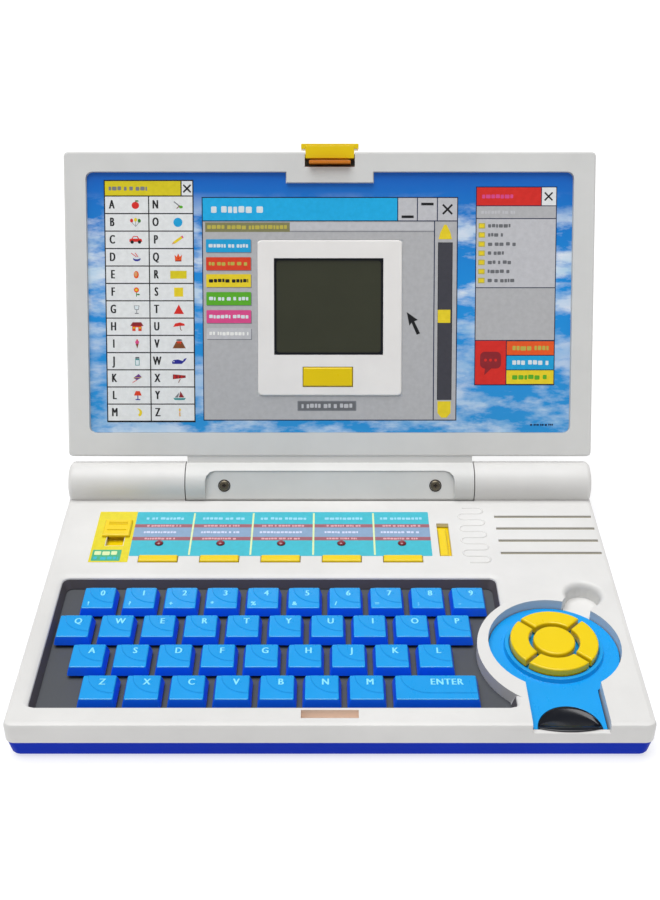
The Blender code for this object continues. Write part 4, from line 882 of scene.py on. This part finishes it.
def alphabet_chart():
    sheet = lid_print("alphabet_chart")
    x0, divider, x1 = -114.5, -92.3, -70.0
    low, high = heights(18.1, 133.0)
    top = LID_EDGE + 140.5
    line = 0.58
    sheet.area("black", x0 - line, low - line, x1 + line, top + line)
    sheet.area("chart_yellow", x0, high + line / 2, -76.0, top, 1)
    sheet.greeked("window_dark", -112.6, -93.0, (high + top) / 2, 1.9, 3, 2)
    sheet.area("cell", -76.0 + line, high + line / 2, x1, top, 1)
    sheet.cross("black", (-76.0 + line + x1) / 2, (high + top) / 2, 1.9, 0.8, 2)
    row_height = (high - low) / 13
    for number in range(26):
        letter = chr(ord("A") + number)
        row, second = number % 13, number >= 13
        y_top = high - row * row_height
        left, right = (divider, x1) if second else (x0, divider)
        inset = line / 2
        sheet.area("cell", left + (inset if second else 0), y_top - row_height + inset,
                   right - (0 if second else inset), y_top - inset, 1)
        middle = y_top - row_height / 2
        for shift in BOLD_SHIFTS:
            sheet.text("black", letter, left + 3.4 + 0.22 * shift, middle, 6.2, 2 + 0.1 * shift, 0.62)
        picture(sheet, letter, left + (14.8 if second else 15.4), middle, 2)
    sheet.done(LID_FRAME, "lid")


def main_window():
    sheet = lid_print("main_window")
    x0, x1 = -64.8, 64.9
    low, high = heights(18.9, 132.0)
    title_low = LID_EDGE + 120.7
    hole = SCREEN_FRAME_BOX
    column_x = 53.2
    line = 0.5
    for number, (name, grow) in enumerate((("outline", line), ("window", 0.0))):
        left, right, bottom, top = x0 - grow, x1 + grow, low - grow, high + grow
        sheet.area(name, left, bottom, hole[0], top, number)
        sheet.area(name, hole[2], bottom, right, top, number)
        sheet.area(name, hole[0], bottom, hole[2], hole[1], number)
        sheet.area(name, hole[0], hole[3], hole[2], top, number)
    sheet.area("outline", x0, title_low - line, x1, title_low, 2)
    sheet.area("title", x0, title_low, 34.4, high, 2)
    sheet.greeked("pale_text", -60.5, -33.0, title_low + 5.4, 3.2, 11, 3)
    buttons = ((34.9, 44.4), (44.9, 54.6), (55.1, x1))
    for left, right in buttons:
        sheet.area("outline", left - 0.5, title_low, left, high, 2)
        sheet.area("window_light", left, title_low, right, high, 2)
    sheet.area("black", 36.6, title_low + 1.2, 42.8, title_low + 2.5, 3)
    sheet.area("black", 46.6, title_low + 7.6, 52.9, title_low + 8.9, 3)
    sheet.cross("black", 60.0, title_low + 5.6, 2.4, 0.95, 3)

    menu_low, menu_high = heights(114.9, 119.7)
    sheet.area("menu", -63.6, menu_low, -20.4, menu_high, 2)
    sheet.greeked("menu_text", -62.6, -21.2, (menu_low + menu_high) / 2, 1.9, 5, 3)
    sheet.area("window_light", -20.4, menu_low + 0.8, column_x, menu_high, 2)
    sheet.area("window_dark", -20.4, menu_low, column_x, menu_low + 0.35, 2)

    tabs = (("cyan", "pale_text", 104.6, 111.2), ("tab_red", "menu_text", 95.5, 102.1),
            ("yellow", "black", 86.9, 93.5), ("green", "pale_text", 77.7, 84.4),
            ("pink", "pale_text", 68.6, 75.2), ("window_light", "white", 60.4, 66.0))
    for number, (name, words, bottom, top) in enumerate(tabs):
        y0, y1 = heights(bottom, top)
        sheet.area("window_dark", -63.0, y0 - 0.4, -40.0, y1 - 0.4, 2, 0.3)
        sheet.area(name, -63.3, y0, -40.4, y1, 3, 0.3)
        sheet.greeked(words, -61.9, -41.8, (y0 + y1) / 2, 1.7, 20 + number, 4)

    y0, y1 = heights(23.4, 28.6)
    sheet.area("window_dark", -16.7, y0, 13.7, y1, 2, 0.4)
    sheet.area("grey_text", -16.2, y0 + 0.5, 13.2, y1 - 0.5, 3, 0.3)
    sheet.greeked("window_light", -14.6, 11.6, (y0 + y1) / 2, 2.1, 31, 4)

    arrow = ((39.5, 74.2), (45.2, 70.2), (43.4, 69.5), (46.4, 63.3), (44.7, 62.6), (42.0, 68.8),
             (40.9, 67.2))
    sheet.shape("black", [(x, y + LID_EDGE) for x, y in arrow], 2)

    sheet.area("outline", column_x, low, column_x + line, title_low - line, 2)
    bar_low, bar_high = heights(29.3, 109.4)
    sheet.area("black", 55.3, bar_low - 0.2, 62.8, bar_high + 0.2, 2)
    sheet.area("slate", 55.6, bar_low, 62.5, bar_high, 3)
    tip = LID_EDGE + 118.6
    sheet.shape("yellow", [(55.6, tip - 7.4), (62.4, tip - 7.4), (61.6, tip - 4.0), (59.6, tip), (58.4, tip),
                           (56.4, tip - 4.0)], 2)
    y0, y1 = heights(68.7, 75.4)
    sheet.area("yellow", 55.4, y0, 61.9, y1, 4, 0.3)
    y0, y1 = heights(19.9, 28.4)
    sheet.shape("yellow", [(57.6, y0), (60.4, y0), (62.4, y0 + 2.4), (62.4, y1), (55.6, y1),
                           (55.6, y0 + 2.4)], 2)
    sheet.done(LID_FRAME, "lid")


def side_window():
    sheet = lid_print("side_window")
    x0, x1 = 74.9, 115.3
    low, high = heights(37.1, 137.3)
    header_low = LID_EDGE + 128.3
    list_low, list_high = heights(86.4, 121.4)
    block_high = LID_EDGE + 59.5
    line = 0.45
    sheet.area("outline", x0 - line, low - line, x1 + line, high + line)
    sheet.area("red", x0, header_low, 107.6, high, 1)
    sheet.greeked("pink", 77.6, 93.4, (header_low + high) / 2, 1.9, 41, 2)
    sheet.area("cell", 107.6 + line, header_low, x1, high, 1)
    sheet.cross("black", (107.6 + x1) / 2, (header_low + high) / 2, 2.0, 0.75, 2)
    sheet.area("window", x0, list_high + line, x1, header_low - line, 1)
    sheet.greeked("window_light", 77.2, 95.0, (list_high + header_low) / 2, 1.5, 42, 2)
    sheet.area("window_light", x0, list_low + line, x1, list_high, 1)
    lengths = (13.0, 7.6, 14.4, 8.2, 13.4, 11.6, 14.0)
    for row, length in enumerate(lengths):
        y = list_high - 3.4 - row * 4.62
        sheet.area("menu_text", 75.9, y - 1.4, 79.3, y + 1.4, 2, 0.3)
        sheet.area("yellow", 76.4, y - 0.9, 78.8, y + 0.9, 3, 0.2)
        sheet.greeked("grey_text", 80.8, 80.8 + length, y, 1.7, 50 + row, 2)
    sheet.area("window", x0, block_high + line, x1, list_low, 1)
    sheet.area("red", x0, low, 90.6, block_high, 1)
    bubble = rounded(77.4, low + 8.2, 88.2, low + 16.8, 2.4)
    sheet.shape("maroon", bubble, 2)
    sheet.shape("maroon", [(80.0, low + 8.4), (83.4, low + 8.4), (79.6, low + 4.8)], 2)
    for number in range(3):
        sheet.shape("red", disc(80.2 + 2.6 * number, low + 12.5, 0.75, sides=16), 3)
    stripe = (block_high - low) / 3
    for number, (name, words) in enumerate((("orange", "menu_text"), ("cyan", "pale_text"),
                                            ("yellow", "green"))):
        top = block_high - number * stripe
        sheet.area(name, 90.6 + line, top - stripe + line / 2, x1, top - line / 2, 1)
        sheet.greeked(words, 94.0, 112.6, top - stripe / 2, 2.2, 60 + number, 2)
    sheet.greeked("outline", 103.6, 115.4, LID_EDGE + 16.2, 0.9, 70, 0)
    sheet.done(LID_FRAME, "lid")


sky_card()
alphabet_chart()
main_window()
side_window()


# ---------------------------------------------------------------- label on the case

def label_sticker():
    sheet = Print("mode_label", CASE_TOP)
    sheet.area("label_cyan", -97.5, 112.2, 49.8, 148.3, 0, 0.6)
    stripes = ((135.2, 137.9), (124.6, 127.4))
    sheet.area("label_lilac", -97.5, stripes[1][1], 49.8, stripes[0][0], 1)
    for low, high in stripes:
        sheet.area("label_stripe", -97.5, low, 49.8, high, 1)
    dividers = (-68.4, -38.6, -8.1, 21.9)
    edges = (-97.5,) + dividers + (49.8,)
    for number, (left, right) in enumerate(zip(edges, edges[1:])):
        middle = (left + right) / 2
        width = 9.5 + (number * 7) % 3
        rows = (("label_text", 142.6, 1.9), ("label_stripe_text", 136.5, 1.3),
                ("label_lilac_text", 131.2, 1.5),
                ("label_stripe_text", 126.0, 1.3))
        for row, (name, y, height) in enumerate(rows):
            sheet.greeked(name, middle - width + row % 2, middle + width - row, y, height,
                          80 + 5 * number + row, 2)
    for x in dividers:
        sheet.area("label_divider", x - 0.45, 113.0, x + 0.45, 147.2, 2, 0.2)
    # the yellow end runs round the mode slider's slot
    hole = (-110.4, 120.1, -101.2, 141.3)
    block = (-116.5, 107.4, -97.5, 148.5)
    for x0, y0, x1, y1 in ((block[0], block[1], hole[0], block[3]),
                           (hole[2], block[1], block[2], block[3]),
                           (hole[0], block[1], hole[2], hole[1]),
                           (hole[0], hole[3], hole[2], block[3])):
        sheet.area("label_yellow", x0, y0, x1, y1, 1)
    sheet.area("label_green", -115.4, 108.3, -101.4, 117.0, 2, 0.4)
    sheet.greeked("label_divider", -114.4, -102.4, 114.4, 2.9, 95, 3)
    sheet.greeked("label_cyan", -114.4, -102.4, 110.4, 2.2, 96, 3)
    sheet.done(CASE_FRAME, "case")


LAMP_X = (-83.9, -53.7, -23.9, 5.7, 35.5)
LAMP_Y = 122.2
LAMP_RING_RADIUS = 2.15
LAMP_RADIUS = 1.9
LAMP_BASE = 0.2
LAMP_HEIGHT = 0.95    # low enough for the closed lid


def dome(bm, x, y, base, radius, height, sides=20, rings=5):
    """A low round dome with a closed flat underside."""
    rows = []
    for ring in range(rings):
        angle = math.radians(90 * ring / rings)
        reach = radius * math.cos(angle)
        z = base + height * math.sin(angle)
        rows.append([Vector((px, py, z)) * MM for px, py in disc(x, y, reach, sides=sides)])
    made = loft(bm, rows)
    top = bm.verts.new(Vector((x, y, base + height)) * MM)
    last = made[-1]
    for index in range(sides):
        bm.faces.new((last[index], last[(index + 1) % sides], top))
    bm.faces.new(made[0][::-1])


def lamps():
    """Five red lamp domes, each in a thin dark ring that is painted shade round the lamp."""
    for number, x in enumerate(LAMP_X, start=1):
        bm = bmesh.new()
        prism(bm, disc(x, LAMP_Y, LAMP_RING_RADIUS, sides=28), CASE_TOP + 0.05, CASE_TOP + LAMP_BASE, 1)
        dome(bm, x, LAMP_Y, CASE_TOP + LAMP_BASE, LAMP_RADIUS, LAMP_HEIGHT)
        name = f"mode_lamp_{number}"
        finish_piece(name, to_mesh(bm, name, [LAMP_RED, GAP_PAINTED_SHADE]), CASE_FRAME, "case", smooth_angle=40)


# ---------------------------------------------------------------- small fittings

SERPENT_X = (64.9, 77.6)
SERPENT_Y = (151.9, 107.2)
SERPENT_BARS = 10
SERPENT_RADIUS = 0.6
SERPENT_SINK = 0.18    # keeps the line clear of the closed lid


def serpentine():
    """The raised line that snakes beside the speaker slots."""
    pitch = (SERPENT_Y[0] - SERPENT_Y[1]) / (SERPENT_BARS - 1)
    turn = pitch / 2
    left, right = SERPENT_X[0] + turn, SERPENT_X[1] - turn
    points = [(left, SERPENT_Y[0])]
    for bar in range(SERPENT_BARS):
        y = SERPENT_Y[0] - bar * pitch
        goes_right = bar % 2 == 0
        end = right if goes_right else left
        points.append((end, y))
        if bar == SERPENT_BARS - 1:
            break
        for step in range(1, 8):
            angle = math.radians(90 - 180 * step / 8)
            reach = turn * math.cos(angle) * (1 if goes_right else -1)
            points.append((end + reach, y - turn + turn * math.sin(angle)))
        points.append((end, y - pitch))
    curve = bpy.data.curves.new("serpentine", "CURVE")
    curve.dimensions = "3D"
    curve.bevel_depth = SERPENT_RADIUS * MM
    curve.bevel_resolution = 3
    curve.use_fill_caps = True
    spline = curve.splines.new("POLY")
    spline.points.add(len(points) - 1)
    for point, (x, y) in zip(spline.points, points):
        point.co = (x * MM, y * MM, (CASE_TOP - SERPENT_SINK) * MM, 1)
    holder = bpy.data.objects.new("serpentine_guide", curve)
    bpy.context.scene.collection.objects.link(holder)
    bpy.context.view_layer.update()
    mesh = bpy.data.meshes.new_from_object(holder.evaluated_get(bpy.context.evaluated_depsgraph_get()))
    bpy.data.objects.remove(holder)
    mesh.materials.clear()
    mesh.materials.append(WHITE)
    finish_piece("serpentine_line", mesh, CASE_FRAME, "case", smooth_angle=60)


SPEAKER_X = (83.1, 132.2)
SPEAKER_Y = [114.6 + 9.9 * number for number in range(4)]
SPEAKER_HALF = 0.93


def speaker_cloth():
    """Strips of cloth held just under the speaker slots."""
    bm = bmesh.new()
    for y in SPEAKER_Y:
        prism(bm, rounded(SPEAKER_X[0] + 0.05, y - SPEAKER_HALF, SPEAKER_X[1] - 0.05, y + SPEAKER_HALF),
              CASE_TOP - 1.3, CASE_TOP - 0.8)
    finish_piece("speaker_cloth", to_mesh(bm, "speaker_cloth", [CLOTH]), CASE_FRAME, "case")


SCREW_X = 54.3
SCREW_Y = -0.7
SCREW_RADIUS = 2.5
PANEL_LEVEL = 8.0


def cross_head_screw(name, x, y, level):
    """A domed screw head with a cross recess, on the lid's knuckle, in a dark seat ring; the ring and the
    recess are painted shade.
    """
    radius = SCREW_RADIUS
    bm = bmesh.new()
    seat = radius + 0.65
    sheet_with_hole(bm, disc(x, y, seat, sides=32), disc(x, y, radius + 0.15, sides=32),
                    level + 0.02, level + 0.22, 1)
    sides, rings = 32, 4
    profile = [(radius, 0.02), (radius, 0.35)]
    for ring in range(1, rings + 1):
        angle = math.radians(60 * ring / rings)
        profile.append((radius * math.cos(angle) * 0.98, 0.35 + 0.5 * math.sin(angle)))
    rows = [[Vector((px, py, level + z)) * MM for px, py in disc(x, y, reach, sides=sides)]
            for reach, z in profile]
    made = loft(bm, rows)
    bm.faces.new(made[0][::-1])
    last = made[-1]
    half = radius * 0.15
    arm = radius * 0.42
    slot = [(-half, arm), (-half, half), (-arm, half), (-arm, -half), (-half, -half), (-half, -arm),
            (half, -arm), (half, -half), (arm, -half), (arm, half), (half, half), (half, arm)][::-1]
    top = level + profile[-1][1]
    mouth = [bm.verts.new(Vector((x + px, y + py, top)) * MM) for px, py in slot]
    floor = [bm.verts.new(Vector((x + px * 0.7, y + py * 0.7, top - 0.45)) * MM) for px, py in slot]
    rim_edges = [bm.edges.get((last[i], last[(i + 1) % sides])) for i in range(sides)]
    mouth_edges = [bm.edges.new((a, b)) for a, b in zip(mouth, mouth[1:] + mouth[:1])]
    bmesh.ops.triangle_fill(bm, use_beauty=True, edges=rim_edges + mouth_edges)
    count = len(slot)
    for index in range(count):
        following = (index + 1) % count
        # the recess walls and floor are painted shade
        bm.faces.new((mouth[index], mouth[following], floor[following], floor[index])).material_index = 1
    bm.faces.new(floor).material_index = 1
    finish_piece(name, to_mesh(bm, name, [SCREW_STEEL, GAP_PAINTED_SHADE]), LID_FRAME, "lid", smooth_angle=40)


LENS_X = 99.6
LENS_Y = 2.2
LENS_RADIUS = 13.3
LENS_LEVEL = 15.2      # height at the back, flush with the pad
LENS_DIP = 0.9
LENS_RISE = 0.7        # how far the front edge stands over the lip of the case
LENS_RISE_Y = (4.2, 2.8)


def thumb_lens():
    """The dark glossy window in the pad's tail. It dips a little, then rises over the front lip."""
    across, along = 28, 16
    rise_start, rise_end = LENS_RISE_Y
    rows = []
    for i in range(across + 1):
        angle = math.radians(8 + 164 * i / across)
        share = -math.cos(angle)
        x = LENS_X + LENS_RADIUS * share
        back_y = LENS_Y + LENS_RADIUS * math.sin(angle)
        front_y = 2.4 - 1.9 * (1 - share * share)
        row = []
        for j in range(along + 1):
            y = back_y + (front_y - back_y) * j / along
            risen = min(1.0, max(0.0, (rise_start - y) / (rise_start - rise_end)))
            sunk = min(1.0, max(0.0, (back_y - y) / max(back_y - rise_start, 0.1)))
            z = LENS_LEVEL - LENS_DIP * math.sin(math.pi * sunk) + LENS_RISE * risen
            row.append(Vector((x, y, z)) * MM)
        rows.append(row)
    bm = bmesh.new()
    grid = [[bm.verts.new(point) for point in row] for row in rows]
    for first, second in zip(grid, grid[1:]):
        for j in range(along):
            bm.faces.new((first[j], second[j], second[j + 1], first[j + 1]))
    mesh = to_mesh(bm, "pad_thumb_lens", [BLACK])
    lens = finish_piece("pad_thumb_lens", mesh, CASE_FRAME, "case", smooth_angle=50)
    shell = lens.modifiers.new("thickness", "SOLIDIFY")
    shell.thickness = 0.25 * MM
    shell.offset = 0


GASKET_BOX = (-28.5, 66.4, 27.3, 115.5)
GASKET_HOLE = (-27.5, 67.5, 26.3, 114.5, 1.6)  # with the radius of its corners
GASKET_LEVELS = (1.45, 1.95)


def lcd_gasket():
    """Thin black rim round the glass."""
    bm = bmesh.new()
    sheet_with_hole(bm, rounded(*GASKET_BOX), rounded(*GASKET_HOLE), *GASKET_LEVELS)
    finish_piece("lcd_gasket", to_mesh(bm, "lcd_gasket", [BLACK]), LID_FRAME, "lid")


RIB_X = (-110.6, -101.0)
RIB_Y = (137.6, 136.2, 131.4)
RIB_HALF = 0.35
RIB_LEVELS = (21.58, 21.95)


def slider_ribs():
    """Finger ribs across the mode slider's knob."""
    bm = bmesh.new()
    left, right = RIB_X
    for y in RIB_Y:
        prism(bm, rounded(left, y - RIB_HALF, right, y + RIB_HALF, 0.3), *RIB_LEVELS, inset=0.12)
    finish_piece("mode_slider_ribs", to_mesh(bm, "mode_slider_ribs", [YELLOW]), CASE_FRAME,
                 "mode_slider")


# A sheet of painted shade at the bottom of the catch's notch
SHADE_SHEET_BOX = (-12.4, 161.45, 12.4, 161.65)
SHADE_SHEET_LEVELS = (-5.0, 3.2)


def catch_notch_shade_sheet():
    """A red-brown sheet at the bottom of the catch's notch, painted shade there, clear of the hook when it
    is pressed.
    """
    bm = bmesh.new()
    prism(bm, rounded(*SHADE_SHEET_BOX), *SHADE_SHEET_LEVELS)
    finish_piece("catch_notch_shade_sheet", to_mesh(bm, "catch_notch_shade_sheet", [NOTCH_PAINTED_SHADE]), LID_FRAME, "lid")


LAMP_RED = plastic("lamp_red", srgb(128, 18, 38), rough=(0.14, 0.22), grain_depth=0.002, coat=0.6)
# Red-brown of the sheet in the catch's notch: painted shade.
NOTCH_PAINTED_SHADE = plastic("catch_notch_painted_shade", srgb(120, 44, 18), rough=(0.4, 0.55))

label_sticker()
lamps()
serpentine()
speaker_cloth()
for side, word in ((-1, "left"), (1, "right")):
    cross_head_screw("hinge_screw_" + word, side * SCREW_X, SCREW_Y, PANEL_LEVEL)
thumb_lens()
lcd_gasket()
slider_ribs()
catch_notch_shade_sheet()


# ---------------------------------------------------------------- stage

PAPER_GLOW = 0.68       # keeps the floor white under the soft light
SKY_LEVEL = 0.26
SUN_LEVEL = 2.75
SUN_SPREAD = math.radians(50)
SUN_DIRECTION = Vector((0.12, 0.0, -1))
FLOOR_HALF = 4.0


def stage():
    floor_mesh = bpy.data.meshes.new("floor")
    side = FLOOR_HALF
    floor_mesh.from_pydata([(-side, -side, 0), (side, -side, 0), (side, side, 0), (-side, side, 0)],
                           [], [(0, 1, 2, 3)])
    recipe = Recipe("floor_paper")
    tone = recipe.scaled(recipe.noise(3.0), 0.0, 1.0)
    recipe.link(recipe.mixed(tone, (0.40, 0.40, 0.40, 1), (0.42, 0.42, 0.42, 1)),
                recipe.shader.inputs["Base Color"])
    recipe.shader.inputs["Roughness"].default_value = 0.9
    recipe.shader.inputs["Specular IOR Level"].default_value = 0.1
    recipe.shader.inputs["Emission Color"].default_value = (1.0, 1.0, 1.0, 1)
    recipe.shader.inputs["Emission Strength"].default_value = PAPER_GLOW
    floor_mesh.materials.append(recipe.material)
    floor = bpy.data.objects.new("floor", floor_mesh)
    bpy.context.scene.collection.objects.link(floor)

    world = bpy.data.worlds.new("studio")
    world.use_nodes = True
    world.node_tree.nodes["Background"].inputs["Color"].default_value = (1.0, 1.0, 1.0, 1)
    world.node_tree.nodes["Background"].inputs["Strength"].default_value = SKY_LEVEL
    bpy.context.scene.world = world

    light = bpy.data.lights.new("soft_sky_light", "SUN")
    light.energy = SUN_LEVEL
    light.angle = SUN_SPREAD
    lamp = bpy.data.objects.new("soft_sky_light", light)
    lamp.rotation_euler = SUN_DIRECTION.to_track_quat("-Z", "Y").to_euler()
    bpy.context.scene.collection.objects.link(lamp)


def camera():
    data = bpy.data.cameras.new("camera")
    data.sensor_width = 36
    data.lens = 50.16
    data.shift_x = 0.2 / 900
    data.shift_y = -4.7 / 900
    view = bpy.data.objects.new("camera", data)
    view.location = (0, -0.495693, 0.3962)
    view.rotation_euler = (math.radians(56.97), 0, 0)
    bpy.context.scene.collection.objects.link(view)
    bpy.context.scene.camera = view


stage()
camera()
bpy.context.scene.view_settings.view_transform = "Standard"
bpy.context.scene.view_settings.look = "None"
